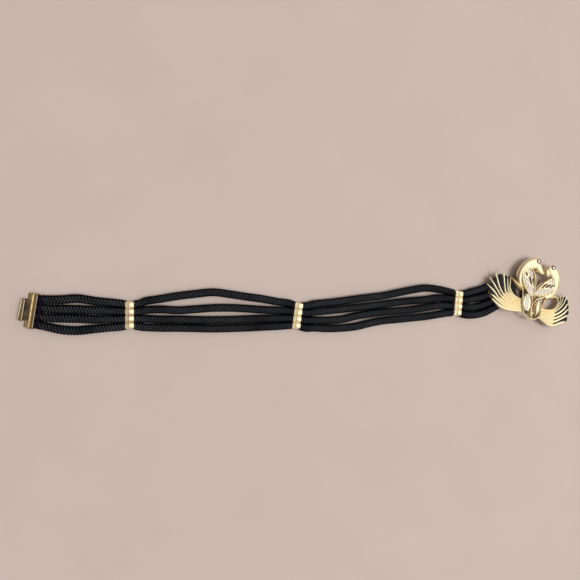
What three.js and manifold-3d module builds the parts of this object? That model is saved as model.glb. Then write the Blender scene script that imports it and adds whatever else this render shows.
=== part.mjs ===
// A corded belt lying flat: hook clasp, four braided cords, three spacer bars and a buckle of two swans.
// Millimetres, +Z up. The origin is the middle of the belt's outline, on the surface that it lies on.
import * as THREE from 'three';
import { mergeVertices } from 'three/addons/utils/BufferGeometryUtils.js';
import Module from 'manifold-3d';

const wasm = await Module();
wasm.setup();

const GAP = 0.3;                 // clearance between pieces that touch on the real belt

// Cords
const CORD_RADIUS = 4.15;
const CORD_SIDES = 8;
const CORDS = [1, 2, 3, 4];
const SIDE_BY_SIDE = [1.5, 0.5, -0.5, -1.5];        // places of cords 1 to 4 across a bar or cap, in pitches

// Spacer bars of fused barrel beads
const BEAD_PITCH = 7.25;
const BEAD_LONG = 9.0;
const BEAD_RADIUS = 5.1;        // from the bore to the crest
const BEAD_HALF = 4.5;          // half of a bead's width across the belt
const BEAD_SIDES = 8;
const BORE_SIDES = 8;
const BORE_RADIUS = 2.9;
const BORE_FLOOR = 1.5;          // metal under a bore
const BORE_HEIGHT = BORE_FLOOR + BORE_RADIUS;
const SPACERS = [
  { name: 'spacer_1', x: -201.6, y: -23.2, lean: 0 },
  { name: 'spacer_2', x: -22.2, y: -25.0, lean: 7.5 },
  { name: 'spacer_3', x: 166.7, y: -11.9, lean: 5.5 },
];

// Caps that hold the cords' ends
const CAP_TALL = 9.0;
const CAP_WALL = 0.9;
const CAP_CORD_RADIUS = 3.3;

// Hook clasp
const CLASP = { x: -294.6, y: -18.8, lean: 8.5, wide: 36.6, pitch: 8.5, deep: 5.4 };
const PLATE_THICK = 1.2;
const PLATE_LONG = 12.2;          // from the cords to the step of the clasp's outline
const TONGUE_WIDE = 22.8;
const TONGUE_LONG = 18.8;        // from the cords to the outside of the fold
const LIP_LONG = 6.8;
const HOOK_GAP = 4.4;
const RIDGE_RADIUS = 1.1;

// Buckle: every place on it is (across, along) its axis of symmetry, from the point where the wings cross
const BUCKLE = { x: 257.8, y: -1.2, lean: 23.5 };
const SWAN_WIDE = 30;            // from the axis to the outside of a neck
const SWAN_TALL = 44;            // from the crossing to the crown of a head
const NECK_HALF = 6.4;
const HEAD_RADIUS = 6.4;
const NECK_RISE = 5.2;
const FAN_WIDE = 58;             // from the axis to the outermost feather tip
const FAN_TALL = 30;             // from the crossing down to the lowest feather
const FEATHER_HALF = 1.5;
const FEATHER_RISE = 3.2;
const FEATHER_JOINED = 0.8;      // share of a feather's length that is joined to the next
const WEB_THICK = 1.3;
const FAN_LIFT = 0.2;          // the fans' underside stands this far above the rest of the back
const BACK_Z = CAP_TALL - 0.2;   // underside of the casting, which is soldered to its cord cap
const PLATE_Z = 11.2;            // top of the plates that carry the stones
const WING_TURN = -3;            // both wings are turned this many degrees from the axis
const RIM_HALF = 0.95;
const RIM_RISE = 4.9;
const DROOP = 3.6;               // how far the free fan hangs below the rest
const DROOP_FROM = 12;
const BUCKLE_CAP = { x: 229.2, y: 2.2, lean: -8, wide: 33, pitch: 7.7, deep: 9 };
const BAR_RADIUS = 1.3;          // the bar on the back that the clasp hooks over
const BAR = { x: 258.7, top: 10, bottom: -24 };

// Stones
const STONE_RADIUS = 1.5;
const STONE_RISE = 0.8;
const STONE_PITCH = 4.2;
const STONE_SIDES = 8;
const TABLE_SHARE = 0.6;
const BED_THICK = 0.8;
const BED_DOME = 0.9;
const BED_FROM = 0.15;           // a wing's bed runs between these shares of the wing's length
const BED_TO = 0.91;
const EYE_RADIUS = 1.8;
const EYE_RISE = 0.9;
const EYE_COLLAR = 1.1;          // metal round an eye stone
const EYE_Z = BACK_Z + NECK_RISE - 0.2;
const STONE_SUNK = 0.5;          // how deep a stone sits in its bed

const black = new THREE.MeshStandardMaterial({ color: 0x15151c, roughness: 0.9, metalness: 0 });
const gold = new THREE.MeshStandardMaterial({ color: 0xe6c77a, roughness: 0.25, metalness: 1 });
const crystal = new THREE.MeshStandardMaterial({ color: 0xf3f0e6, roughness: 0.08, metalness: 0.1 });

// The cords' middles where they lie free: one row for each station, y1 to y4 for the four cords.
// girth is a cord's radius there as a share of CORD_RADIUS.
const CORD_ROWS = [
  { x: -285, y1: -6.4, y2: -15.8, y3: -25.2, y4: -34.6, girth: 1.02 },
  { x: -270, y1: -6.5, y2: -16.5, y3: -26.0, y4: -38.0, girth: 1.08 },
  { x: -254, y1: -5.6, y2: -16.9, y3: -26.5, y4: -39.0, girth: 1.08 },
  { x: -237, y1: -8.2, y2: -17.8, y3: -27.4, y4: -37.4, girth: 1.05 },
  { x: -220, y1: -9.8, y2: -18.5, y3: -27.2, y4: -36.1, girth: 0.98 },
  { x: -187, y1: -8.8, y2: -18.0, y3: -27.1, y4: -36.2, girth: 0.98 },
  { x: -170, y1: -6.0, y2: -17.3, y3: -28.0, y4: -37.0, girth: 1 },
  { x: -152, y1: -3.0, y2: -18.3, y3: -28.2, y4: -37.2, girth: 1 },
  { x: -133, y1: -0.7, y2: -17.2, y3: -28.9, y4: -37.8, girth: 1 },
  { x: -114, y1: 1.0, y2: -16.0, y3: -29.2, y4: -38.4, girth: 1 },
  { x: -96, y1: -1.2, y2: -16.0, y3: -29.1, y4: -38.2, girth: 1 },
  { x: -78, y1: -4.0, y2: -17.0, y3: -28.6, y4: -37.8, girth: 1 },
  { x: -60, y1: -6.5, y2: -18.4, y3: -28.1, y4: -37.1, girth: 1 },
  { x: -42, y1: -9.8, y2: -19.1, y3: -27.8, y4: -36.5, girth: 0.98 },
  { x: -4, y1: -12.3, y2: -21.1, y3: -30.0, y4: -38.8, girth: 0.98 },
  { x: 12, y1: -10.8, y2: -19.8, y3: -30.6, y4: -39.6, girth: 1 },
  { x: 30, y1: -8.8, y2: -18.0, y3: -29.2, y4: -39.2, girth: 1 },
  { x: 46, y1: -6.6, y2: -16.2, y3: -25.8, y4: -37.6, girth: 1 },
  { x: 62, y1: -4.7, y2: -14.5, y3: -23.5, y4: -34.0, girth: 1 },
  { x: 78, y1: -2.8, y2: -12.6, y3: -21.6, y4: -31.3, girth: 1 },
  { x: 96, y1: 0.7, y2: -10.3, y3: -20.4, y4: -29.9, girth: 1 },
  { x: 112, y1: 3.7, y2: -8.8, y3: -18.9, y4: -28.4, girth: 1 },
  { x: 128, y1: 5.9, y2: -7.6, y3: -16.8, y4: -27.0, girth: 1 },
  { x: 145, y1: 4.2, y2: -5.6, y3: -14.6, y4: -24.6, girth: 0.98 },
  { x: 184, y1: 1.4, y2: -7.3, y3: -17.2, y4: -26.0, girth: 0.98 },
  { x: 198, y1: 4.7, y2: -4.6, y3: -14.3, y4: -23.8, girth: 1 },
  { x: 207, y1: 8.4, y2: -1.0, y3: -10.6, y4: -20.1, girth: 1 },
  { x: 217, y1: 11.8, y2: 3.0, y3: -6.0, y4: -15.2, girth: 0.93 },
];

// One swan, as shares of SWAN_WIDE across, SWAN_TALL along, NECK_HALF and NECK_RISE, from head to breast
const NECK_ROWS = [
  { across: 0.28, along: 0.82, half: 1.0, rise: 0.9 },
  { across: 0.39, along: 0.80, half: 1.1, rise: 0.97 },
  { across: 0.54, along: 0.735, half: 1.1, rise: 1.0 },
  { across: 0.68, along: 0.645, half: 0.97, rise: 1.0 },
  { across: 0.78, along: 0.52, half: 0.82, rise: 0.97 },
  { across: 0.82, along: 0.40, half: 0.70, rise: 0.92 },
  { across: 0.80, along: 0.265, half: 0.58, rise: 0.85 },
  { across: 0.71, along: 0.15, half: 0.48, rise: 0.75 },
  { across: 0.57, along: 0.05, half: 0.40, rise: 0.60 },
];
// What differs between the two swans, in millimetres: where the head and the eye are, and how far the
// neck and the wing are set off from the rows above and below
const SWANS = {
  '-1': { head: [-10.4, 34.7], eye: [-9.4, 37.7], neck: [1.6, -0.3], wing: [1.4, -0.9] },
  1: { head: [9.8, 35.2], eye: [11.0, 38.4], neck: [0, 0], wing: [0.9, 2.6] },
};

// A wing's outer and inner edges, from the crossing to the round end, as shares of SWAN_WIDE and SWAN_TALL
const WING_OUTER = [
  { across: 0.03, along: -0.08 }, { across: 0.20, along: -0.045 }, { across: 0.38, along: 0.025 },
  { across: 0.57, along: 0.125 }, { across: 0.735, along: 0.24 }, { across: 0.82, along: 0.375 },
  { across: 0.80, along: 0.50 }, { across: 0.68, along: 0.585 },
];
const WING_INNER = [
  { across: -0.04, along: -0.06 }, { across: 0.035, along: 0.04 }, { across: 0.085, along: 0.16 },
  { across: 0.155, along: 0.29 }, { across: 0.26, along: 0.42 }, { across: 0.38, along: 0.525 },
  { across: 0.53, along: 0.59 }, { across: 0.68, along: 0.585 },
];
const SLITS = { from: 0.55, to: 0.86, half: 0.5 };

// Feathers of the two tail fans, as shares of FAN_WIDE across and FAN_TALL along: root, two bends and tip
const FEATHERS_LEFT = [
  { q0: 0.072, u0: -0.81, q1: 0.46, u1: -0.985, q2: 0.68, u2: -0.905, q3: 0.83, u3: -0.765 },
  { q0: 0.083, u0: -0.75, q1: 0.51, u1: -0.875, q2: 0.74, u2: -0.735, q3: 0.86, u3: -0.665 },
  { q0: 0.10, u0: -0.685, q1: 0.54, u1: -0.785, q2: 0.78, u2: -0.55, q3: 0.98, u3: -0.38 },
  { q0: 0.115, u0: -0.61, q1: 0.52, u1: -0.665, q2: 0.77, u2: -0.39, q3: 0.98, u3: -0.09 },
  { q0: 0.128, u0: -0.56, q1: 0.51, u1: -0.555, q2: 0.73, u2: -0.265, q3: 0.91, u3: 0.22 },
  { q0: 0.142, u0: -0.505, q1: 0.50, u1: -0.455, q2: 0.64, u2: -0.115, q3: 0.755, u3: 0.385 },
  { q0: 0.155, u0: -0.45, q1: 0.45, u1: -0.38, q2: 0.57, u2: -0.095, q3: 0.63, u3: 0.26 },
  { q0: 0.172, u0: -0.385, q1: 0.39, u1: -0.34, q2: 0.515, u2: -0.11, q3: 0.555, u3: 0.285 },
];
const FEATHERS_RIGHT = [
  { q0: 0.31, u0: -0.735, q1: 0.66, u1: -0.815, q2: 0.86, u2: -0.54, q3: 0.98, u3: -0.34 },
  { q0: 0.31, u0: -0.665, q1: 0.63, u1: -0.69, q2: 0.845, u2: -0.355, q3: 0.99, u3: -0.02 },
  { q0: 0.30, u0: -0.60, q1: 0.625, u1: -0.545, q2: 0.83, u2: -0.195, q3: 0.935, u3: 0.235 },
  { q0: 0.29, u0: -0.53, q1: 0.60, u1: -0.43, q2: 0.79, u2: -0.055, q3: 0.875, u3: 0.445 },
  { q0: 0.285, u0: -0.47, q1: 0.585, u1: -0.315, q2: 0.74, u2: 0.115, q3: 0.78, u3: 0.62 },
  { q0: 0.28, u0: -0.445, q1: 0.59, u1: -0.24, q2: 0.695, u2: 0.19, q3: 0.70, u3: 0.555 },
  { q0: 0.285, u0: -0.40, q1: 0.58, u1: -0.17, q2: 0.655, u2: 0.18, q3: 0.645, u3: 0.445 },
  { q0: 0.29, u0: -0.36, q1: 0.56, u1: -0.21, q2: 0.625, u2: 0.13, q3: 0.585, u3: 0.345 },
];

// Strips of the casting between the fans, as rows of (across, along) in shares of SWAN_WIDE and SWAN_TALL,
// with half widths as shares of RIM_HALF and heights as shares of RIM_RISE
const STRIPS = {
  loop: [
    { r: -0.50, u: -0.015, half: 1.0, rise: 0.9 }, { r: -0.33, u: -0.27, half: 1.0, rise: 0.95 },
    { r: -0.135, u: -0.52, half: 1.0, rise: 0.85 }, { r: 0.005, u: -0.59, half: 1.0, rise: 0.75 },
    { r: 0.18, u: -0.637, half: 1.05, rise: 0.7 }, { r: 0.375, u: -0.624, half: 1.05, rise: 0.7 },
    { r: 0.535, u: -0.56, half: 1.0, rise: 0.75 }, { r: 0.605, u: -0.46, half: 1.0, rise: 0.85 },
    { r: 0.545, u: -0.305, half: 1.0, rise: 0.9 }, { r: 0.465, u: -0.145, half: 0.9, rise: 0.8 },
  ],
  stem: [
    { r: -0.20, u: 0.05, half: 1.0, rise: 0.95 }, { r: -0.03, u: -0.08, half: 1.2, rise: 1.0 },
    { r: 0.06, u: -0.15, half: 1.1, rise: 0.95 }, { r: 0.13, u: -0.23, half: 0.9, rise: 0.8 },
  ],
  arc: [
    { r: 0.18, u: -0.215, half: 0.8, rise: 0.85 }, { r: 0.20, u: -0.115, half: 0.9, rise: 0.9 },
    { r: 0.29, u: -0.045, half: 1.0, rise: 0.9 }, { r: 0.44, u: 0.02, half: 1.0, rise: 0.85 },
    { r: 0.60, u: 0.15, half: 0.9, rise: 0.75 },
  ],
  brace: [
    { r: 0.60, u: 0.03, half: 1.3, rise: 0.5 }, { r: 0.585, u: -0.11, half: 1.3, rise: 0.55 },
    { r: 0.565, u: -0.245, half: 1.3, rise: 0.5 },
  ],
  tie: [
    { r: 0.16, u: -0.19, half: 1.7, rise: 0.35 }, { r: 0.20, u: -0.35, half: 1.7, rise: 0.35 },
    { r: 0.31, u: -0.52, half: 2.2, rise: 0.3 }, { r: 0.36, u: -0.62, half: 1.2, rise: 0.3 },
  ],
  breast_left: [
    { r: -1.07, u: 0.185, half: 0.6, rise: 0.45 }, { r: -0.86, u: 0.10, half: 2.4, rise: 0.6 },
    { r: -0.63, u: 0.055, half: 3.0, rise: 0.65 }, { r: -0.40, u: -0.02, half: 2.0, rise: 0.6 },
  ],
  breast_right: [
    { r: 0.56, u: 0.04, half: 1.6, rise: 0.55 }, { r: 0.80, u: 0.13, half: 2.4, rise: 0.6 },
    { r: 0.98, u: 0.20, half: 2.4, rise: 0.6 }, { r: 1.13, u: 0.16, half: 1.0, rise: 0.5 },
  ],
  bill_left: [
    { r: -0.25, u: 0.76, half: 4.6, rise: 0.85 }, { r: -0.12, u: 0.715, half: 4.2, rise: 0.8 },
    { r: 0.0, u: 0.675, half: 3.0, rise: 0.7 }, { r: 0.14, u: 0.645, half: 1.6, rise: 0.55 },
  ],
  bill_right: [
    { r: 0.28, u: 0.80, half: 4.2, rise: 0.85 }, { r: 0.20, u: 0.745, half: 3.4, rise: 0.8 },
    { r: 0.195, u: 0.68, half: 2.6, rise: 0.75 }, { r: 0.27, u: 0.61, half: 1.0, rise: 0.55 },
  ],
  leaf_smooth: [
    { r: 0.37, u: -0.08, half: 2.0, rise: 0.7 }, { r: 0.405, u: -0.20, half: 3.6, rise: 0.9 },
    { r: 0.44, u: -0.31, half: 3.8, rise: 0.95 }, { r: 0.49, u: -0.42, half: 3.0, rise: 0.85 },
    { r: 0.53, u: -0.50, half: 1.4, rise: 0.7 },
  ],
};
const LEAF_ROWS = [
  { r: -0.19, u: -0.055, half: 0.30 }, { r: -0.16, u: -0.165, half: 0.80 }, { r: -0.105, u: -0.285, half: 1.0 },
  { r: -0.03, u: -0.40, half: 0.80 }, { r: 0.02, u: -0.475, half: 0.35 },
];
const LEAF_HALF = 5.0;

// Sections that sweeps use, as shares of a half width and a rise
const DOME = [[-1, 0], [-0.8, 0.62], [-0.3, 0.97], [0.3, 0.97], [0.8, 0.62], [1, 0]];
const RIDGE = [[-1, 0], [-0.5, 0.86], [0.5, 0.86], [1, 0]];
const SLAB = [[-1, 0], [1, 0], [1, 1], [-1, 1]];

// Middle of the belt's outline as the places above are given; node() moves it to the origin
const MIDDLE = new THREE.Vector2(-2.27, -0.97);

const degrees = THREE.MathUtils.degToRad;
const mix = THREE.MathUtils.lerp;

// Geometry helpers

function signedVolume(position, index) {
  const a = new THREE.Vector3();
  const b = new THREE.Vector3();
  const c = new THREE.Vector3();
  let volume = 0;
  for (let i = 0; i < index.length; i += 3) {
    a.fromBufferAttribute(position, index[i]);
    b.fromBufferAttribute(position, index[i + 1]);
    c.fromBufferAttribute(position, index[i + 2]);
    volume += a.dot(b.cross(c)) / 6;
  }
  return volume;
}

function solid(geometry) {
  const bare = geometry.index ? geometry.toNonIndexed() : geometry.clone();
  bare.deleteAttribute('normal');
  bare.deleteAttribute('uv');
  const merged = mergeVertices(bare, 1e-4);
  const all = merged.index.array;
  let kept = [];
  for (let i = 0; i < all.length; i += 3) {
    const [a, b, c] = [all[i], all[i + 1], all[i + 2]];
    if (a !== b && b !== c && c !== a) kept.push(a, b, c);
  }
  if (signedVolume(merged.attributes.position, kept) < 0) kept = kept.reverse();
  const mesh = { numProp: 3, vertProperties: new Float32Array(merged.attributes.position.array) };
  mesh.triVerts = Uint32Array.from(kept);
  return new wasm.Manifold(new wasm.Mesh(mesh));
}

function union(solids) {
  return solids.reduce((whole, piece) => whole.add(piece));
}

function node(name, shape, material) {
  const { vertProperties, triVerts } = shape.getMesh();
  const geometry = new THREE.BufferGeometry();
  geometry.setAttribute('position', new THREE.BufferAttribute(vertProperties, 3));
  geometry.setIndex(new THREE.BufferAttribute(triVerts, 1));
  const mesh = new THREE.Mesh(geometry.translate(-MIDDLE.x, -MIDDLE.y, 0), material);
  mesh.name = name;
  return mesh;
}

// A section pushed along t from 0 to 1 in equal steps; place(x, y, t) says where each of its points lies.
function sweep(section, steps, place) {
  const outline = new THREE.Shape(section.map(([x, y]) => new THREE.Vector2(x, y)));
  const bar = new THREE.ExtrudeGeometry(outline, { depth: 1, steps, bevelEnabled: false });
  const position = bar.attributes.position;
  for (let i = 0; i < position.count; i += 1) {
    const spot = place(position.getX(i), position.getY(i), position.getZ(i));
    position.setXYZ(i, spot.x, spot.y, spot.z);
  }
  return solid(bar);
}

// A round section of flats, each at the given radius from the middle, one of them at the bottom
function polygon(sides, radius) {
  const corner = radius / Math.cos(Math.PI / sides);
  const points = [];
  for (let i = 0; i < sides; i += 1) {
    const turn = ((i + 0.5) / sides) * 2 * Math.PI;
    points.push([corner * Math.sin(turn), corner * Math.cos(turn)]);
  }
  return points;
}

function box(x0, x1, y0, y1, z0, z1) {
  const shape = new THREE.BoxGeometry(x1 - x0, y1 - y0, z1 - z0);
  return solid(shape.translate((x0 + x1) / 2, (y0 + y1) / 2, (z0 + z1) / 2));
}

// A bar, cap or clasp stands in its own frame: x away along the belt, y across it towards cord 1
function standAt(shape, place) {
  return shape.rotate([0, 0, -place.lean]).translate([place.x, place.y, 0]);
}

function pointAt(place, along, across) {
  const lean = degrees(place.lean);
  const x = place.x + along * Math.cos(lean) + across * Math.sin(lean);
  const y = place.y - along * Math.sin(lean) + across * Math.cos(lean);
  return new THREE.Vector2(x, y);
}

// Cords

function stationsOf(cord) {
  const across = SIDE_BY_SIDE[cord - 1];
  const stations = [];
  const held = (place, along, pitch, radius, z) => {
    const spot = pointAt(place, along, across * pitch);
    stations.push({ x: spot.x, y: spot.y, z, radius });
  };
  const inBore = BORE_RADIUS - GAP;
  const capMiddle = CAP_TALL / 2;
  held(CLASP, -(CLASP.deep - CAP_WALL - 2 * GAP), CLASP.pitch, CAP_CORD_RADIUS, capMiddle);
  held(CLASP, 0, CLASP.pitch, CAP_CORD_RADIUS, capMiddle);
  let spacer = 0;
  for (const row of CORD_ROWS) {
    while (spacer < SPACERS.length && row.x > SPACERS[spacer].x) {
      const reach = BEAD_LONG / 2 + GAP;
      for (const along of [-reach, reach]) held(SPACERS[spacer], along, BEAD_PITCH, inBore, BORE_HEIGHT);
      spacer += 1;
    }
    const radius = row.girth * CORD_RADIUS;
    stations.push({ x: row.x, y: row[`y${cord}`], z: radius, radius });
  }
  held(BUCKLE_CAP, 0, BUCKLE_CAP.pitch, CAP_CORD_RADIUS, capMiddle);
  held(BUCKLE_CAP, BUCKLE_CAP.deep - CAP_WALL - 2 * GAP, BUCKLE_CAP.pitch, CAP_CORD_RADIUS, capMiddle);
  return stations;
}

function buildCord(cord) {
  const stations = stationsOf(cord);
  const last = stations.length - 1;
  return sweep(polygon(CORD_SIDES, 1), last, (x, y, t) => {
    const i = Math.round(t * last);
    const before = stations[Math.max(i - 1, 0)];
    const after = stations[Math.min(i + 1, last)];
    const way = new THREE.Vector2(after.x - before.x, after.y - before.y).normalize();
    const { radius } = stations[i];
    const side = x * radius;
    return new THREE.Vector3(stations[i].x - way.y * side, stations[i].y + way.x * side, stations[i].z + y * radius);
  });
}

// Spacer bars

function barrelBead() {
  const half = BEAD_LONG / 2;
  const profile = [[0, -half], [0.92, -half], [1, 0], [0.92, half], [0, half]];
  const points = profile.map(([share, along]) => new THREE.Vector2(share * BEAD_RADIUS, along));
  const bead = new THREE.LatheGeometry(points, BEAD_SIDES);
  return bead.rotateZ(-Math.PI / 2).rotateX(Math.PI / BEAD_SIDES);
}

function buildSpacer(place) {
  const squeeze = BEAD_HALF / BEAD_RADIUS;
  const beads = SIDE_BY_SIDE.map((across) =>
    solid(barrelBead()).scale([1, squeeze, 1]).translate([0, across * BEAD_PITCH, BORE_HEIGHT]));
  const half = BEAD_LONG * 0.36;
  const wide = 1.5 * BEAD_PITCH + BEAD_HALF / 2;
  const foot = box(-half, half, -wide, wide, 0, BORE_HEIGHT - BEAD_RADIUS * 0.3);
  const bores = SIDE_BY_SIDE.map((across) =>
    sweep(polygon(BORE_SIDES, BORE_RADIUS), 1, (x, y, t) =>
      new THREE.Vector3((t - 0.5) * 2 * BEAD_LONG, across * BEAD_PITCH + x, BORE_HEIGHT + y)));
  const under = box(-BEAD_LONG, BEAD_LONG, -4 * BEAD_PITCH, 4 * BEAD_PITCH, -BEAD_RADIUS, 0);
  return standAt(union([...beads, foot]).subtract(union([...bores, under])), place);
}

// Caps and clasp

function roundedBlock(long, wide, tall, from, bottom) {
  const corner = Math.min(wide, tall) * 0.28;
  const shape = new THREE.Shape();
  const [y0, y1, z0, z1] = [-wide / 2, wide / 2, bottom, bottom + tall];
  shape.moveTo(y0 + corner, z0).lineTo(y1 - corner, z0).lineTo(y1, z0 + corner).lineTo(y1, z1 - corner);
  shape.lineTo(y1 - corner, z1).lineTo(y0 + corner, z1).lineTo(y0, z1 - corner).lineTo(y0, z0 + corner);
  shape.closePath();
  const block = new THREE.ExtrudeGeometry(shape, { depth: long, bevelEnabled: false });
  const axes = new THREE.Matrix4().makeBasis(
    new THREE.Vector3(0, 1, 0), new THREE.Vector3(0, 0, 1), new THREE.Vector3(1, 0, 0));
  return solid(block.applyMatrix4(axes).translate(from, 0, 0));
}

// The cap is open at its mouth, x = 0, and closed at the far end; toEnd is -1 or 1
function cordCap(place, toEnd) {
  const shellFrom = toEnd > 0 ? 0 : -place.deep;
  const pocketLong = place.deep - CAP_WALL + 1;
  const pocketFrom = toEnd > 0 ? -1 : -(place.deep - CAP_WALL);
  const shell = roundedBlock(place.deep, place.wide, CAP_TALL, shellFrom, 0);
  const inner = CAP_TALL - 2 * CAP_WALL;
  return shell.subtract(roundedBlock(pocketLong, place.wide - 2 * CAP_WALL, inner, pocketFrom, CAP_WALL));
}

function buildClasp() {
  const cap = cordCap(CLASP, -1);
  const ridge = sweep(polygon(8, RIDGE_RADIUS), 1, (x, y, t) =>
    new THREE.Vector3(x - CLASP.deep + RIDGE_RADIUS, (t - 0.5) * CLASP.wide, y + CAP_TALL + RIDGE_RADIUS / 2));
  const plate = box(-PLATE_LONG, -CLASP.deep / 2, -CLASP.wide / 2, CLASP.wide / 2, 0, PLATE_THICK);
  const outer = PLATE_THICK + HOOK_GAP / 2;
  const middle = TONGUE_LONG - outer;
  const hook = new THREE.Shape();
  hook.moveTo(-CLASP.deep / 2, 0).lineTo(-middle, 0);
  hook.absarc(-middle, outer, outer, -Math.PI / 2, Math.PI / 2, true);
  hook.lineTo(-(TONGUE_LONG - LIP_LONG), 2 * outer).lineTo(-(TONGUE_LONG - LIP_LONG), 2 * outer - PLATE_THICK);
  hook.lineTo(-middle, 2 * outer - PLATE_THICK);
  hook.absarc(-middle, outer, HOOK_GAP / 2, Math.PI / 2, -Math.PI / 2, false);
  hook.lineTo(-CLASP.deep / 2, PLATE_THICK).closePath();
  const strip = new THREE.ExtrudeGeometry(hook, { depth: TONGUE_WIDE, bevelEnabled: false, curveSegments: 8 });
  const tongue = solid(strip.rotateX(Math.PI / 2).translate(0, TONGUE_WIDE / 2, 0));
  return standAt(union([cap, ridge, plate, tongue]), CLASP);
}

// Buckle

function droop(r) {
  return -DROOP * THREE.MathUtils.smoothstep(r, DROOP_FROM, FAN_WIDE);
}

function onBuckle(r, u, z) {
  const lean = degrees(BUCKLE.lean);
  const x = BUCKLE.x + r * Math.cos(lean) + u * Math.sin(lean);
  const y = BUCKLE.y - r * Math.sin(lean) + u * Math.cos(lean);
  return new THREE.Vector3(x, y, z + droop(r));
}

// A strip along a smooth curve through its rows, each with r, u, half width and rise above the back
function strip(rows, section, steps, bottom = BACK_Z) {
  const path = new THREE.CatmullRomCurve3(rows.map((row) => new THREE.Vector3(row.r, row.u, 0)));
  const sizes = new THREE.CatmullRomCurve3(rows.map((row) => new THREE.Vector3(row.half, row.rise, 0)));
  return sweep(section, steps, (x, y, t) => {
    const spot = path.getPoint(t);
    const way = path.getTangent(t);
    const size = sizes.getPoint(t);
    return onBuckle(spot.x - way.y * x * size.x, spot.y + way.x * x * size.x, bottom + y * size.y);
  });
}

function namedStrip(name, section, steps) {
  const rows = STRIPS[name].map(({ r, u, half, rise }) =>
    ({ r: r * SWAN_WIDE, u: u * SWAN_TALL, half: half * RIM_HALF, rise: rise * RIM_RISE }));
  return strip(rows, section, steps);
}

function neck(side) {
  const [toR, toU] = SWANS[side].neck;
  const rows = NECK_ROWS.map(({ across, along, half, rise }) => ({
    r: side * across * SWAN_WIDE + toR, u: along * SWAN_TALL + toU, half: half * NECK_HALF, rise: rise * NECK_RISE,
  }));
  return strip(rows, DOME, 9);
}

function head(side) {
  const [r, u] = SWANS[side].head;
  const ball = new THREE.SphereGeometry(1, 8, 6).rotateX(Math.PI / 2);
  ball.scale(HEAD_RADIUS, HEAD_RADIUS, NECK_RISE);
  const spot = onBuckle(r, u, BACK_Z);
  return solid(ball.translate(spot.x, spot.y, spot.z));
}

function eyeSeat(side, radius, from, to) {
  const [r, u] = SWANS[side].eye;
  return sweep(polygon(STONE_SIDES, radius), 1, (x, y, t) => onBuckle(r + x, u + y, mix(from, to, t)));
}

// A wing's place: t runs from the crossing to its round end, f from its inner to its outer edge
function wingCurves(side) {
  const axis = new THREE.Vector3(0, 0, 1);
  const [toR, toU] = SWANS[side].wing;
  const offset = new THREE.Vector3(toR, toU, 0);
  const curve = (rows) => new THREE.CatmullRomCurve3(rows.map(({ across, along }) => new THREE.Vector3(
    side * across * SWAN_WIDE, along * SWAN_TALL, 0).applyAxisAngle(axis, degrees(WING_TURN)).add(offset)));
  return { inner: curve(WING_INNER), outer: curve(WING_OUTER) };
}

function wingSpot({ inner, outer }, t, f) {
  return inner.getPoint(t).lerp(outer.getPoint(t), f);
}

function wingRim(side) {
  const { inner, outer } = wingCurves(side);
  return [inner, outer].map((curve) => sweep(RIDGE, 7, (x, y, t) => {
    const spot = curve.getPoint(t);
    const way = curve.getTangent(t);
    return onBuckle(spot.x - way.y * x * RIM_HALF, spot.y + way.x * x * RIM_HALF, BACK_Z + y * RIM_RISE);
  }));
}

function wingPlate(side, bottom, top, inset, dome = 0, from = 0.02, to = 0.97, section = SLAB, steps = 6) {
  const curves = wingCurves(side);
  return sweep(section, steps, (x, y, share) => {
    const t = mix(from, to, share);
    const width = curves.inner.getPoint(t).distanceTo(curves.outer.getPoint(t));
    const f = 0.5 + x * Math.max(0.5 - inset / Math.max(width, 2 * inset), 0.05);
    const spot = wingSpot(curves, t, f);
    return onBuckle(spot.x, spot.y, y === 0 ? bottom : top + dome * (y - 1));
  });
}

const BED = [[-1, 0], [1, 0], [1, 1], [0.35, 1.9], [-0.35, 1.9], [-1, 1]];

function cutStone(radius, rise) {
  const profile = [[0, -STONE_SUNK], [radius, -STONE_SUNK], [radius * TABLE_SHARE, rise], [0, rise]];
  const points = profile.map(([x, y]) => new THREE.Vector2(x, y));
  return new THREE.LatheGeometry(points, STONE_SIDES).rotateX(Math.PI / 2);
}

function stoneAt(r, u, z, radius = STONE_RADIUS, rise = STONE_RISE) {
  const spot = onBuckle(r, u, z);
  return solid(cutStone(radius, rise).translate(spot.x, spot.y, spot.z));
}

function slitsIn(side) {
  const curves = wingCurves(side);
  return [0.27, 0.5, 0.73].map((f) => sweep(SLAB, 4, (x, y, share) => {
    const t = mix(SLITS.from, SLITS.to, share);
    const spot = wingSpot(curves, t, f);
    const toSide = curves.outer.getPoint(t).sub(curves.inner.getPoint(t)).normalize();
    const half = x * SLITS.half * (0.4 + 0.6 * Math.sin(Math.PI * mix(0.15, 0.85, share)));
    return onBuckle(spot.x + toSide.x * half, spot.y + toSide.y * half, mix(PLATE_Z, CAP_TALL * 2, y));
  }));
}

function wingStones(side) {
  const curves = wingCurves(side);
  const inset = RIM_HALF + GAP + STONE_RADIUS;
  const middle = new THREE.CatmullRomCurve3(Array.from({ length: 9 }, (_, i) => wingSpot(curves, i / 8, 0.5)));
  const rows = Math.floor((BED_TO - BED_FROM) * middle.getLength() / STONE_PITCH);
  const stones = [];
  for (let row = 0; row <= rows; row += 1) {
    const t = mix(BED_FROM + 0.06, BED_TO - 0.09, row / rows);
    const width = curves.inner.getPoint(t).distanceTo(curves.outer.getPoint(t));
    const room = width - 2 * inset;
    if (room < 0) continue;
    const count = 1 + Math.floor(room / STONE_PITCH);
    for (let i = 0; i < count; i += 1) {
      const share = count === 1 ? 0.5 : i / (count - 1);
      const f = mix(inset / width, 1 - inset / width, share);
      const spot = wingSpot(curves, t, f);
      const rise = BED_DOME * (1 - (2 * f - 1) ** 2);
      stones.push(stoneAt(spot.x, spot.y, PLATE_Z + GAP + BED_THICK + rise));
    }
  }
  return stones;
}

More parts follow.
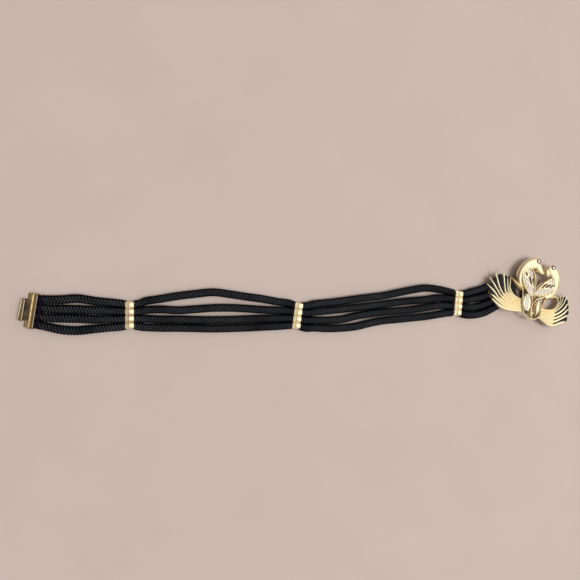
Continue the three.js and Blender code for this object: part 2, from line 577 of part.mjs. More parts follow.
function pavedWing(side) {
  const inset = RIM_HALF + 2 * GAP;
  const bed = wingPlate(side, PLATE_Z + GAP, PLATE_Z + GAP + BED_THICK, inset, BED_DOME, BED_FROM, BED_TO, BED);
  const room = wingPlate(side, PLATE_Z, 2 * BACK_Z, inset - GAP / 2, 0, BED_FROM - 0.01, BED_TO + 0.01);
  return union([bed.subtract(union(slitsIn(side))), ...wingStones(side)]).intersect(room);
}

function leafRows(grow, rise) {
  return LEAF_ROWS.map(({ r, u, half }) =>
    ({ r: r * SWAN_WIDE, u: u * SWAN_TALL, half: half * LEAF_HALF + grow, rise }));
}

function pavedLeaf() {
  const rows = leafRows(-GAP, BED_THICK);
  const bed = strip(rows, BED, 6, PLATE_Z + GAP);
  const path = new THREE.CatmullRomCurve3(rows.map((row) => new THREE.Vector3(row.r, row.u, row.half)));
  const count = Math.floor(path.getLength() / STONE_PITCH);
  const stones = [];
  for (let row = 1; row < count; row += 1) {
    const spot = path.getPoint(row / count);
    const way = path.getTangent(row / count);
    const across = 1 + Math.floor((2 * (spot.z - STONE_RADIUS * 0.8)) / STONE_PITCH);
    for (let i = 0; i < across; i += 1) {
      const off = (i - (across - 1) / 2) * STONE_PITCH;
      const lift = BED_DOME * (1 - (off / spot.z) ** 2);
      stones.push(stoneAt(spot.x - way.y * off, spot.y + way.x * off, PLATE_Z + GAP + BED_THICK + lift * 0.8));
    }
  }
  return union([bed, ...stones]);
}

// A fan is one plate folded lengthwise: a crest along each feather, a valley between each two, and its
// valleys stop short of the tips, so that the feathers part there
function fan(table, side) {
  const crests = table.map((row) => new THREE.CatmullRomCurve3([
    [row.q0, row.u0], [row.q1, row.u1], [row.q2, row.u2], [row.q3, row.u3],
  ].map(([q, u]) => new THREE.Vector3(side * q * FAN_WIDE, u * FAN_TALL, 0))));
  const last = 2 * crests.length;
  const spotOn = (column, t) => {
    if (column % 2 === 1) return crests[(column - 1) / 2].getPoint(t);
    const before = crests[Math.max(column / 2 - 1, 0)];
    const after = crests[Math.min(column / 2, crests.length - 1)];
    const spot = before.getPoint(t * FEATHER_JOINED).lerp(after.getPoint(t * FEATHER_JOINED), 0.5);
    if (before !== after) return spot;
    const way = before.getTangent(t * FEATHER_JOINED);
    const out = (column === 0 ? side : -side) * FEATHER_HALF;
    return spot.add(new THREE.Vector3(way.y, -way.x, 0).multiplyScalar(out));
  };
  const columns = Array.from({ length: last + 1 }, (_, i) => i);
  const section = [...columns.map((i) => [i, 0]), ...columns.reverse().map((i) => [i, 1])];
  return sweep(section, 6, (x, y, t) => {
    const column = Math.round(x);
    const spot = spotOn(column, t);
    const rise = column % 2 === 1 ? FEATHER_RISE * (1 - 0.45 * t * t) : WEB_THICK;
    return onBuckle(spot.x, spot.y, BACK_Z + (y === 0 ? FAN_LIFT : rise));
  });
}

function hookBar() {
  const bar = sweep(polygon(8, BAR_RADIUS), 1, (x, y, t) =>
    new THREE.Vector3(BAR.x + x, mix(BAR.bottom - BAR_RADIUS, BAR.top + BAR_RADIUS, t), y + BAR_RADIUS));
  const posts = [BAR.top, BAR.bottom].map((y0) => sweep(polygon(8, BAR_RADIUS), 1, (x, y, t) =>
    new THREE.Vector3(BAR.x + x, y0 + y, mix(BAR_RADIUS, BACK_Z + WEB_THICK, t))));
  return [bar, ...posts];
}

function buildBuckle() {
  const sides = [-1, 1];
  const thin = ['stem', 'arc', 'brace', 'tie'].map((name) => namedStrip(name, RIDGE, 5));
  const round = ['breast_left', 'breast_right', 'bill_left', 'bill_right', 'leaf_smooth'];
  const body = union([
    ...sides.flatMap((side) => [neck(side), head(side), wingPlate(side, BACK_Z, PLATE_Z, 0.2)]),
    ...sides.map((side) => eyeSeat(side, EYE_RADIUS + EYE_COLLAR, BACK_Z, EYE_Z + EYE_COLLAR / 2)),
    ...thin, ...round.map((name) => namedStrip(name, DOME, 4)), namedStrip('loop', RIDGE, 14),
    strip(leafRows(EYE_COLLAR, PLATE_Z - BACK_Z), SLAB, 6), fan(FEATHERS_LEFT, -1), fan(FEATHERS_RIGHT, 1),
  ]);
  const wells = union([
    ...sides.map((side) => wingPlate(side, PLATE_Z, 2 * BACK_Z, 0)),
    strip(leafRows(0, BACK_Z), SLAB, 6, PLATE_Z),
    ...sides.map((side) => eyeSeat(side, EYE_RADIUS + GAP, EYE_Z - GAP - STONE_SUNK, 2 * BACK_Z)),
  ]);
  const reach = 2 * FAN_WIDE;
  const under = box(BUCKLE.x - reach, BUCKLE.x + reach, -reach, reach, -BACK_Z, BACK_Z - DROOP);
  const beds = union([strip(leafRows(0, BACK_Z), SLAB, 6, PLATE_Z), ...sides.map((side) =>
    wingPlate(side, PLATE_Z, 2 * BACK_Z, RIM_HALF + GAP, 0, BED_FROM - 0.03, BED_TO + 0.03, SLAB, 11))]);
  const rims = union(sides.flatMap((side) => wingRim(side)));
  const cap = standAt(cordCap(BUCKLE_CAP, 1), BUCKLE_CAP);
  return body.subtract(wells).add(rims).subtract(beds).subtract(under).add(union([cap, ...hookBar()]));
}

function eyeStone(side) {
  const [r, u] = SWANS[side].eye;
  return stoneAt(r, u, EYE_Z, EYE_RADIUS, EYE_RISE);
}

const belt = new THREE.Group();
for (const cord of CORDS) belt.add(node(`cord_${cord}`, buildCord(cord), black));
for (const place of SPACERS) belt.add(node(place.name, buildSpacer(place), gold));
belt.add(node('hook_clasp', buildClasp(), gold));
belt.add(node('swan_buckle', buildBuckle(), gold));
belt.add(node('pave_wing_left', pavedWing(-1), crystal));
belt.add(node('pave_wing_right', pavedWing(1), crystal));
belt.add(node('pave_leaf', pavedLeaf(), crystal));
belt.add(node('eye_left', eyeStone(-1), crystal));
belt.add(node('eye_right', eyeStone(1), crystal));

export default belt;
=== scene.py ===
"""A corded belt with a buckle of two swans, lying on a pale floor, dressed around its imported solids.

Sizes and places are in millimetres, in the row frame, and become metres where a mesh is made.
"""
import math

import bmesh
import bpy
import numpy as np
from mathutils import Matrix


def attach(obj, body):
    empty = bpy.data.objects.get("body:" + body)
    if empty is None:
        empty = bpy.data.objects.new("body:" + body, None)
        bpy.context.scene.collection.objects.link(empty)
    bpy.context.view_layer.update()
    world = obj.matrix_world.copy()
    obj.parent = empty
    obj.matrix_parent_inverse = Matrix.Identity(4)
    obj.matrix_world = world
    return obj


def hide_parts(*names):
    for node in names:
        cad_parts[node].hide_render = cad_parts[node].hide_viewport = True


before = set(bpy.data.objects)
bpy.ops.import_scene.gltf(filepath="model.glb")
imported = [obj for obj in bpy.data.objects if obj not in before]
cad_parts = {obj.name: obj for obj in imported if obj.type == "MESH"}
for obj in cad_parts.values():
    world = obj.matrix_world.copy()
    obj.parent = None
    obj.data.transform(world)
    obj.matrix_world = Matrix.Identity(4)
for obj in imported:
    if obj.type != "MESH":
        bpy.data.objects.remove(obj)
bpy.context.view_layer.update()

MM = 0.001
ROOT = "root"

# Where the solids' own places are moved to, so that the belt is centred on the origin
CENTRING = np.array([2.27, 0.97, 0.0])

# Cords
CORD_RADIUS = 4.15
CORD_NAMES = ("cord_1", "cord_2", "cord_3", "cord_4")
SIDE_BY_SIDE = (1.5, 0.5, -0.5, -1.5)      # places of cords 1 to 4 across a bar or cap, in pitches
STRANDS_EACH_WAY = 5
BRAID_LEAD = 16.0                          # length of cord in which a strand goes once round
STRAND_HALF_WIDTH = 1.18
STRAND_HALF_THICK = 0.84
STRAND_WAVE = 0.44                         # how far a strand rises over and dips under the others
STRAND_SIDES = 6
CORD_STEP = 0.7
# Ends inside the caps: place along the cap, what the pitch gains there, half width, half height
IN_CLASP = ((-3.9, 0.0, 3.3, 3.3), (0.2, 0.0, 3.6, 3.4), (2.6, 0.35, 4.3, 4.3))
IN_BUCKLE_CAP = ((0.6, 0.0, 3.4, 3.3), (7.5, 0.0, 3.3, 3.3))
BINDING_FROM, BINDING_TO, THREAD_PITCH = 4.2, 9.6, 0.62
CORD_FULL = 1.1                            # the loose yarn swells this much beyond the plain solid

# Spacer bars of fused barrel beads
BEAD_PITCH, BEAD_LONG, BEAD_RADIUS = 7.25, 9.0, 5.1
BORE_RADIUS, BORE_HEIGHT = 2.9, 4.4
BEAD_RIBS = 26
RIB_DEEP = 0.34
# Squeezed into a spacer bar: place along the bar's own frame, pitch of the cords, half width
NEAR_SPACER = ((-11.5, 8.4, 4.45), (-6.2, 7.8, 4.35), (-4.8, 7.5, 4.1), (-4.2, BEAD_PITCH, 2.7),
               (0, BEAD_PITCH, 2.5), (4.2, BEAD_PITCH, 2.7), (4.8, 7.5, 4.1), (6.2, 7.8, 4.35),
               (11.5, 8.4, 4.45))
SQUEEZED_HEIGHT = 4.25                     # half height of a cord there, at most
SOLE_HALF, SOLE_TALL = 12.6, 1.3           # the flat strip under the beads
WEB_HALF, WEB_LOW, WEB_HIGH = 0.68, 0.9, 8.7    # the solder between two beads
SLAB_HALF = 3.9                            # half length of both along the cords

# Caps and clasp
CAP_TALL, CAP_WALL = 9.0, 0.9
PLATE_THICK, PLATE_LONG = 1.2, 12.2
TONGUE_WIDE, TONGUE_LONG, LIP_LONG, HOOK_GAP = 22.8, 18.4, 5.8, 4.4
CAP_CORNER, BORE_CORNER = 2.4, 1.9
RIDGE_RADIUS, RIDGE_IN, RIDGE_UP = 1.25, 1.1, 0.2
SILVER_HALF_LONG, SILVER_HALF_TALL = 0.42, 0.5
UNDER_CAP = 2.7                            # the plate and the tongue end this far inside the cap
PLATE_BEVEL, PLATE_CORNER, LIP_CORNER = 0.35, 1.4, 2.4
HOOK_SHADE_FLOOR = (3.2, 5.0, 0.4)               # painted shade sheet in the hook's hollow: from the tongue's end, the cap's mouth and the sides
# Ends of what lies across the clasp: share of the width, then the share of a bar's radius that is left there,
# or the share of a corner that is cut off there
RIDGE_ENDS = ((0.5, 0.5), (0.485, 0.85), (0.46, 1.0))
BEADING_ENDS = ((0.46, 0.3), (0.45, 0.8), (0.43, 1.0))
PLATE_ENDS = ((0.5, 1.0), (0.493, 0.45), (0.475, 0.12), (0.45, 0.0))
LIP_ENDS = ((0.5, 1.0), (0.497, 0.6), (0.488, 0.3), (0.472, 0.1), (0.45, 0.0))

# Buckle: places on it are (across, along) its axis of symmetry, from the point where the wings cross
SWAN_WIDE, SWAN_TALL = 30.0, 44.0
NECK_HALF, NECK_RISE, HEAD_RADIUS = 6.4, 5.2, 6.4
FAN_WIDE, FAN_TALL = 58.0, 30.0
BACK_Z, PLATE_Z = 8.8, 11.2
WING_TURN = math.radians(-3)
RIM_HALF, RIM_RISE = 0.95, 4.9
DROOP, DROOP_FROM = 3.6, 12.0              # the free fan hangs this far below the rest, from this place on
FEATHER_RISE = 3.2
STONE_PITCH, STONE_RADIUS = 2.25, 1.02
LEAF_HALF = 5.0
PAVED_SPAN = (0.06, 0.95)                  # where a wing's stones begin and end, as shares of its length
BED_RISE, BED_DOME = 0.9, 0.9
# Width of a feather from its root to its tip, as a share of the room for it
FEATHER_WIDTH = ((0, 0.35, 0.6, 0.85, 1), (0.94, 0.86, 0.70, 0.52, 0.16))
# Hidden bar behind the buckle and the two posts that carry it, as places on the floor before centring
CATCH_X, CATCH_ENDS, POST_PLACES, CATCH_RADIUS = 258.7, (-24.3, 12.3), (-23.03, 10.97), 1.3
# Eyes: mound under the setting, stone, and (radius, height) round the setting's profile
EYE_MOUND, EYE_STONE = 3.1, 1.55
EYE_RING = ((1.75, -1.0), (2.5, -0.7), (2.65, 0.0), (2.45, 0.34), (1.9, 0.3), (1.65, -0.2), (1.65, -0.9))
KNOB = (-6.0, 26.8)
KNOB_RADIUS = 2.3

# Floor, light and camera, in metres and watts
FLOOR_REACH, FLOOR_SUNK = 30.0, 0.0002
KEY_PLACE, KEY_SIZE, KEY_POWER, KEY_TONE = (1.95, -0.52, 4.8), 2.2, 180, (1.0, 0.995, 0.985)
DIM_SKY, BRIGHT_SKY = (0.13, 0.11, 0.095, 1), (1.42, 1.42, 1.4, 1)
BRIGHT_SIDE, SKY_FALL = (0.62, 0.12, 0.77), 3.3
CAMERA_PLACE, CAMERA_TILT = (-0.10223, 0.00447, 0.5324), math.radians(-8)
SENSOR, FOCAL_SHARE = 36.0, 480.0 / 580.0


class Place:
    """A frame of its own on the floor: x away along the belt, y across it towards cord 1, turned by lean."""

    def __init__(self, x, y, lean, **sizes):
        self.origin = np.array([x, y, 0.0]) + CENTRING
        turn = math.radians(-lean)
        self.along = np.array([math.cos(turn), math.sin(turn), 0.0])
        self.across = np.array([-math.sin(turn), math.cos(turn), 0.0])
        self.__dict__.update(sizes)

    def at(self, points):
        points = np.asarray(points, float)
        return (self.origin + points[..., 0:1] * self.along + points[..., 1:2] * self.across
                + points[..., 2:3] * np.array([0.0, 0.0, 1.0]))


SPACERS = {
    "spacer_1": Place(-201.6, -23.2, 0),
    "spacer_2": Place(-22.2, -25.0, 7.5),
    "spacer_3": Place(166.7, -11.9, 5.5),
}
CLASP = Place(-294.6, -18.8, 8.5, wide=36.6, pitch=8.5, deep=5.4)
BUCKLE_CAP = Place(229.2, 2.2, -8, wide=33.0, pitch=7.7, deep=9.0)
BUCKLE = Place(257.8, -1.2, 23.5)

# Each cord's middle where it lies free: place along the belt, then the four cords' places across it,
# and the cords' girth there as a share of CORD_RADIUS
CORD_ROWS = (
    # x, cord 1, cord 2, cord 3, cord 4, girth
    (-285, -6.4, -15.8, -25.2, -34.6, 1.02),
    (-270, -6.5, -16.5, -26.0, -38.0, 1.08),
    (-254, -5.6, -16.9, -26.5, -39.0, 1.08),
    (-237, -8.2, -17.8, -27.4, -37.4, 1.05),
    (-220, -9.8, -18.5, -27.2, -36.1, 0.98),
    (-187, -8.8, -18.0, -27.1, -36.2, 0.98),
    (-170, -6.0, -17.3, -28.0, -37.0, 1.00),
    (-152, -3.0, -18.3, -28.2, -37.2, 1.00),
    (-133, -0.7, -17.2, -28.9, -37.8, 1.00),
    (-114, 1.0, -16.0, -29.2, -38.4, 1.00),
    (-96, -1.2, -16.0, -29.1, -38.2, 1.00),
    (-78, -4.0, -17.0, -28.6, -37.8, 1.00),
    (-60, -6.5, -18.4, -28.1, -37.1, 1.00),
    (-42, -9.8, -19.1, -27.8, -36.5, 0.98),
    (-4, -12.3, -21.1, -30.0, -38.8, 0.98),
    (12, -10.8, -19.8, -30.6, -39.6, 1.00),
    (30, -8.8, -18.0, -29.2, -39.2, 1.00),
    (46, -6.6, -16.2, -25.8, -37.6, 1.00),
    (62, -4.7, -14.5, -23.5, -34.0, 1.00),
    (78, -2.8, -12.6, -21.6, -31.3, 1.00),
    (96, 0.7, -10.3, -20.4, -29.9, 1.00),
    (112, 3.7, -8.8, -18.9, -28.4, 1.00),
    (128, 5.9, -7.6, -16.8, -27.0, 1.00),
    (145, 4.2, -5.6, -14.6, -24.6, 0.98),
    (184, 1.4, -7.3, -17.2, -26.0, 0.98),
    (198, 4.7, -4.6, -14.3, -23.8, 1.00),
    (207, 8.4, -1.0, -10.6, -20.1, 1.00),
    (217, 11.8, 3.0, -6.0, -15.2, 0.93),
)

# One swan's neck from head to breast: shares of SWAN_WIDE, SWAN_TALL, NECK_HALF and NECK_RISE
NECK_ROWS = (
    # across, along, half width, rise
    (0.28, 0.82, 1.00, 0.90),
    (0.39, 0.80, 1.10, 0.97),
    (0.54, 0.735, 1.10, 1.00),
    (0.68, 0.645, 0.97, 1.00),
    (0.78, 0.52, 0.82, 0.97),
    (0.82, 0.40, 0.70, 0.92),
    (0.80, 0.265, 0.58, 0.85),
    (0.71, 0.15, 0.48, 0.75),
    (0.57, 0.05, 0.40, 0.60),
)
# What differs between the left swan (-1) and the right one (1), in millimetres across and along
SWANS = {
    -1: {"head": (-10.4, 34.7), "eye": (-9.4, 37.7), "neck": (1.6, -0.3), "wing": (1.4, -0.9)},
    1: {"head": (9.8, 35.2), "eye": (11.0, 38.4), "neck": (0.0, 0.0), "wing": (0.9, 2.6)},
}
WING_OUTER = ((0.03, -0.08), (0.20, -0.045), (0.38, 0.025), (0.57, 0.125),
              (0.735, 0.24), (0.82, 0.375), (0.80, 0.50), (0.68, 0.585))
WING_INNER = ((-0.04, -0.06), (0.035, 0.04), (0.085, 0.16), (0.155, 0.29),
              (0.26, 0.42), (0.38, 0.525), (0.53, 0.59), (0.68, 0.585))

# Feathers of the tail fans, from root to tip, in shares of FAN_WIDE and FAN_TALL
FEATHERS = {
    -1: (
        # root, bend, bend, tip
        ((0.072, -0.81), (0.46, -0.985), (0.68, -0.905), (0.83, -0.765)),
        ((0.083, -0.75), (0.51, -0.875), (0.74, -0.735), (0.86, -0.665)),
        ((0.10, -0.685), (0.54, -0.785), (0.78, -0.55), (0.98, -0.38)),
        ((0.115, -0.61), (0.52, -0.665), (0.77, -0.39), (0.98, -0.09)),
        ((0.128, -0.56), (0.51, -0.555), (0.73, -0.265), (0.91, 0.22)),
        ((0.142, -0.505), (0.50, -0.455), (0.64, -0.115), (0.755, 0.385)),
        ((0.155, -0.45), (0.45, -0.38), (0.57, -0.095), (0.63, 0.26)),
        ((0.172, -0.385), (0.39, -0.34), (0.515, -0.11), (0.555, 0.285)),
    ),
    1: (
        ((0.31, -0.735), (0.66, -0.815), (0.86, -0.54), (0.98, -0.34)),
        ((0.31, -0.665), (0.63, -0.69), (0.845, -0.355), (0.99, -0.02)),
        ((0.30, -0.60), (0.625, -0.545), (0.83, -0.195), (0.935, 0.235)),
        ((0.29, -0.53), (0.60, -0.43), (0.79, -0.055), (0.875, 0.445)),
        ((0.285, -0.47), (0.585, -0.315), (0.74, 0.115), (0.78, 0.62)),
        ((0.28, -0.445), (0.59, -0.24), (0.695, 0.19), (0.70, 0.555)),
        ((0.285, -0.40), (0.58, -0.17), (0.655, 0.18), (0.645, 0.445)),
        ((0.29, -0.36), (0.56, -0.21), (0.625, 0.13), (0.585, 0.345)),
    ),
}

# Strips of the casting: across and along in shares of SWAN_WIDE and SWAN_TALL, half widths and rises in
# shares of RIM_HALF and RIM_RISE
STRIPS = {
    "loop": ((-0.62, 0.09, 0.8, 0.6), (-0.47, -0.03, 1.0, 0.85), (-0.33, -0.27, 1.0, 0.95),
             (-0.135, -0.52, 1.0, 0.85), (0.005, -0.59, 1.0, 0.75), (0.18, -0.637, 1.05, 0.7),
             (0.375, -0.624, 1.05, 0.7),
             (0.535, -0.56, 1.0, 0.75), (0.605, -0.46, 1.0, 0.85), (0.545, -0.305, 1.0, 0.9),
             (0.465, -0.145, 0.9, 0.8)),
    "stem": ((-0.20, 0.05, 1.0, 0.95), (-0.03, -0.08, 1.2, 1.0), (0.06, -0.15, 1.1, 0.95),
             (0.13, -0.23, 0.9, 0.8)),
    "arc": ((0.18, -0.215, 0.9, 0.85), (0.20, -0.115, 1.2, 0.9), (0.29, -0.045, 1.35, 0.9),
            (0.44, 0.02, 1.3, 0.85), (0.60, 0.15, 1.0, 0.75)),
    "brace": ((0.60, 0.03, 1.3, 0.5), (0.585, -0.11, 1.3, 0.55), (0.565, -0.245, 1.3, 0.5)),
    "tie": ((0.16, -0.19, 1.7, 0.35), (0.20, -0.35, 1.7, 0.35), (0.31, -0.52, 2.2, 0.3),
            (0.36, -0.62, 1.2, 0.3)),
    "breast_left": ((-1.07, 0.185, 0.6, 0.45), (-0.86, 0.105, 2.2, 0.6), (-0.61, 0.065, 3.9, 0.65),
                    (-0.38, -0.015, 3.2, 0.6)),
    "breast_right": ((0.56, 0.04, 1.6, 0.55), (0.80, 0.13, 2.4, 0.6), (0.98, 0.20, 2.4, 0.6),
                     (1.13, 0.16, 1.0, 0.5)),
    "bill_left": ((-0.25, 0.76, 4.8, 0.9), (-0.13, 0.70, 4.9, 0.85), (-0.03, 0.66, 4.1, 0.75),
                  (0.07, 0.635, 2.8, 0.62), (0.15, 0.625, 1.3, 0.45)),
    "bill_right": ((0.29, 0.845, 5.2, 0.85), (0.305, 0.76, 6.3, 0.9), (0.30, 0.69, 5.9, 0.85),
                   (0.30, 0.635, 4.2, 0.7), (0.295, 0.59, 1.6, 0.5)),
    "leaf_smooth": ((0.37, -0.08, 2.4, 0.55), (0.40, -0.20, 4.1, 0.68), (0.43, -0.31, 4.4, 0.70),
                    (0.475, -0.42, 3.6, 0.65), (0.51, -0.50, 1.8, 0.55)),
}
LEAF_ROWS = ((-0.19, -0.055, 0.30), (-0.16, -0.165, 0.80), (-0.105, -0.285, 1.0),
             (-0.03, -0.40, 0.80), (0.02, -0.475, 0.35))

# Black slits in the wings: three places along each, in millimetres, and its half width
SLITS = {
    -1: (((-18.6, 20.3), (-17.2, 18.4), (-15.6, 16.2), 0.95), ((-13.2, 17.3), (-9.9, 13.3), (-6.6, 8.7), 1.05),
         ((-8.4, 16.9), (-6.8, 14.5), (-5.2, 11.8), 0.75)),
    1: (((6.8, 10.0), (9.4, 14.6), (12.1, 18.7), 1.05), ((11.2, 12.6), (13.8, 16.2), (16.7, 19.5), 1.1),
        ((16.0, 14.6), (18.4, 17.8), (21.1, 20.7), 0.9)),
}


# Curves and meshes

def smooth(rows, shares):
    """The rows' values at shares from 0 to 1, on a curve through their first two columns."""
    rows = np.asarray(rows, float)
    spans = len(rows) - 1
    held = np.vstack([2 * rows[0] - rows[1], rows, 2 * rows[-1] - rows[-2]])
    found = []
    for share in shares:
        i = min(int(share * spans), spans - 1)
        w = share * spans - i
        a, b, c, d = held[i:i + 4]
        ab, bc, cd = (max(math.dist(p[:2], q[:2]) ** 0.5, 1e-4) for p, q in ((a, b), (b, c), (c, d)))
        out = ((b - a) / ab - (c - a) / (ab + bc) + (c - b) / bc) * bc
        back = ((c - b) / bc - (d - b) / (bc + cd) + (d - c) / cd) * bc
        found.append(b + w * (out + w * (3 * (c - b) - 2 * out - back + w * (2 * (b - c) + out + back))))
    return np.array(found)


def shares(count):
    return np.linspace(0, 1, count)


def directions(points):
    """Unit directions along a line of points, and the sides to their left in the floor's plane."""
    way = np.gradient(points, axis=0)
    way /= np.linalg.norm(way, axis=1, keepdims=True)
    side = np.stack([-way[:, 1], way[:, 0], np.zeros(len(way))], 1)
    return way, side / np.linalg.norm(side, axis=1, keepdims=True)


def on_buckle(across, along, height):
    """Points of the buckle in the row frame, let down by the droop of the free fan."""
    across, along, height = np.broadcast_arrays(*(np.asarray(v, float) for v in (across, along, height)))
    t = np.clip((across - DROOP_FROM) / (FAN_WIDE - DROOP_FROM), 0, 1)
    height = height - DROOP * t * t * (3 - 2 * t)
    return BUCKLE.at(np.stack([across, along, height], -1))


class Shape:
    """Vertices and faces gathered from several closed parts, each with the number of its material."""

    def __init__(self):
        self.points, self.faces, self.finishes, self.uvs, self.count = [], [], [], [], 0

    def add(self, points, faces, finish=0, uv=None):
        points = np.asarray(points, float).reshape(-1, 3)
        self.points.append(points)
        self.faces += [[i + self.count for i in face] for face in faces]
        self.finishes += [finish] * len(faces)
        self.uvs.append(np.zeros((len(points), 2)) if uv is None else np.asarray(uv, float).reshape(-1, 2))
        self.count += len(points)

    def tube(self, rings, finish=0, uv=None, closed=False):
        """Skin over rings of points, closed at both ends by a face, or joined end to end."""
        rings = np.asarray(rings, float)
        steps, sides = rings.shape[:2]
        a = np.arange(sides)
        b = (a + 1) % sides
        faces = []
        for i in range(steps if closed else steps - 1):
            low, high = i * sides, ((i + 1) % steps) * sides
            faces += np.stack([a + low, b + low, b + high, a + high], 1).tolist()
        if not closed:
            faces += [a[::-1].tolist(), (a + (steps - 1) * sides).tolist()]
        self.add(rings, faces, finish, uv)

    def piece(self, name, materials, slot, replaces=(), smooth_faces=True, crease=None):
        mesh = bpy.data.meshes.new(name)
        mesh.from_pydata((np.vstack(self.points) * MM).tolist(), [], self.faces)
        for material in materials:
            mesh.materials.append(material)
        mesh.polygons.foreach_set("material_index", self.finishes)
        mesh.polygons.foreach_set("use_smooth", [smooth_faces] * len(mesh.polygons))
        corners = np.zeros(len(mesh.loops), np.int32)
        mesh.loops.foreach_get("vertex_index", corners)
        layer = mesh.uv_layers.new(name="run")
        layer.uv.foreach_set("vector", np.vstack(self.uvs)[corners].astype(np.float32).ravel())
        mesh.validate()
        outward(mesh)
        if crease:
            mesh.set_sharp_from_angle(angle=math.radians(crease))
        piece = bpy.data.objects.new(name, mesh)
        bpy.context.scene.collection.objects.link(piece)
        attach(piece, ROOT)
        if replaces:
            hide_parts(*replaces)
        return piece


def outward(mesh):
    """Turns the faces of each closed part outwards."""
    work = bmesh.new()
    work.from_mesh(mesh)
    bmesh.ops.recalc_face_normals(work, faces=work.faces)
    work.to_mesh(mesh)
    work.free()


def ellipse(sides, start=0.5):
    turn = (np.arange(sides) + start) / sides * 2 * math.pi
    return np.stack([np.sin(turn), np.cos(turn)], 1)


def domed(sides=14, square=0.75):
    """An upright half round on a flat base, as (side, height) from -1 to 1 and 0 to 1."""
    turn = np.linspace(0, math.pi, sides)
    side, height = -np.cos(turn), np.sin(turn)
    return np.stack([np.sign(side) * np.abs(side) ** square, height ** square], 1)


def sides_of(line):
    """Unit directions to the left of a line drawn on the floor's plane."""
    return directions(np.column_stack([line[:, :2], np.zeros(len(line))]))[1][:, :2]


def strip_rings(rows, section, steps, base=BACK_Z, round_ends=False):
    """Rings of a section along rows of (across, along, half width, rise), in millimetres."""
    line = smooth(rows, shares(steps))
    if round_ends:
        gone = np.concatenate([[0], np.cumsum(np.linalg.norm(np.diff(line[:, :2], axis=0), axis=1))])
        near = np.minimum(gone, gone[-1] - gone) / np.maximum(line[:, 2], 0.3)
        bluntness = np.sqrt(np.clip(1 - (1 - np.clip(near + 0.02, 0, 1)) ** 2, 0, 1))
        line[:, 2] *= bluntness
        line[:, 3] *= 0.35 + 0.65 * bluntness
    side = sides_of(line)
    across = line[:, None, 0] + side[:, None, 0] * section[None, :, 0] * line[:, None, 2]
    along = line[:, None, 1] + side[:, None, 1] * section[None, :, 0] * line[:, None, 2]
    return on_buckle(across, along, base + section[None, :, 1] * line[:, None, 3])


def named_strip(name):
    return [(r * SWAN_WIDE, u * SWAN_TALL, half * RIM_HALF, rise * RIM_RISE)
            for r, u, half, rise in STRIPS[name]]


# Materials

# Places of the two colours and of the result on a mix of colours
LOW_TONE, HIGH_TONE, MIXED_TONE = 6, 7, 2


def fill(tree, made, settings):
    """Fills a node's inputs, by name or place, and its own settings. A (node, output) is linked."""
    for name, value in settings.items():
        entry = name.replace("_", " ") if isinstance(name, str) else name
        if isinstance(name, str) and entry not in made.inputs:
            setattr(made, name, value)
        elif isinstance(value, tuple) and isinstance(value[0], bpy.types.Node):
            tree.links.new(value[0].outputs[value[1]], made.inputs[entry])
        else:
            made.inputs[entry].default_value = value
    return made


def node(tree, kind, *first, **settings):
    """A shader node, with what its first inputs take, and the rest by name."""
    return fill(tree, tree.nodes.new(f"ShaderNode{kind}"), {**settings, **dict(enumerate(first))})


def blend(tree, share, low, high):
    """The colour between two others."""
    mix = node(tree, "Mix", data_type="RGBA", Factor=share)
    return fill(tree, mix, {LOW_TONE: low, HIGH_TONE: high}), MIXED_TONE


def surface_group(name, inputs):
    """A node group with these inputs, which puts out a colour, a roughness and a normal."""
    group = bpy.data.node_groups.new(name, "ShaderNodeTree")
    for label, value in inputs.items():
        kind = "Float" if isinstance(value, float) else "Color"
        made = group.interface.new_socket(name=label, in_out="INPUT", socket_type=f"NodeSocket{kind}")
        made.default_value = value
    for label, kind in (("Color", "Color"), ("Roughness", "Float"), ("Normal", "Vector")):
        group.interface.new_socket(name=label, in_out="OUTPUT", socket_type=f"NodeSocket{kind}")
    return group, group.nodes.new("NodeGroupInput"), group.nodes.new("NodeGroupOutput")


def metal_wear():
    """A metal's colour, drifting to a darker tone in soft patches, with its roughness and fine scratches."""
    group, given, result = surface_group("metal_wear", {
        "Tone": (0.9, 0.7, 0.4, 1), "Dark Tone": (0.5, 0.32, 0.12, 1), "Patch Scale": 120.0, "Patch Share": 0.4,
        "Low Roughness": 0.16, "High Roughness": 0.34, "Dent Depth": 0.2})
    where = node(group, "TexCoord"), "Object"
    patches = node(group, "TexNoise", Vector=where, Scale=(given, "Patch Scale"), Detail=5.0, Roughness=0.6)
    span = node(group, "MapRange", (patches, "Fac"), From_Min=0.42, From_Max=0.68)
    share = node(group, "Math", (span, "Result"), (given, "Patch Share"), operation="MULTIPLY")
    tone = blend(group, (share, 0), (given, "Tone"), (given, "Dark Tone"))
    scratches = node(group, "TexNoise", Vector=where, Scale=900.0, Detail=3.0, Roughness=0.7)
    sheen = node(group, "MapRange", (scratches, "Fac"), To_Min=(given, "Low Roughness"),
                 To_Max=(given, "High Roughness"))
    dents = node(group, "TexNoise", Vector=where, Scale=260.0, Detail=2.0)
    bump = node(group, "Bump", Distance=0.0004, Height=(dents, "Fac"), Strength=(given, "Dent Depth"))
    fill(group, result, {"Color": tone, "Roughness": (sheen, "Result"), "Normal": (bump, "Normal")})
    return group


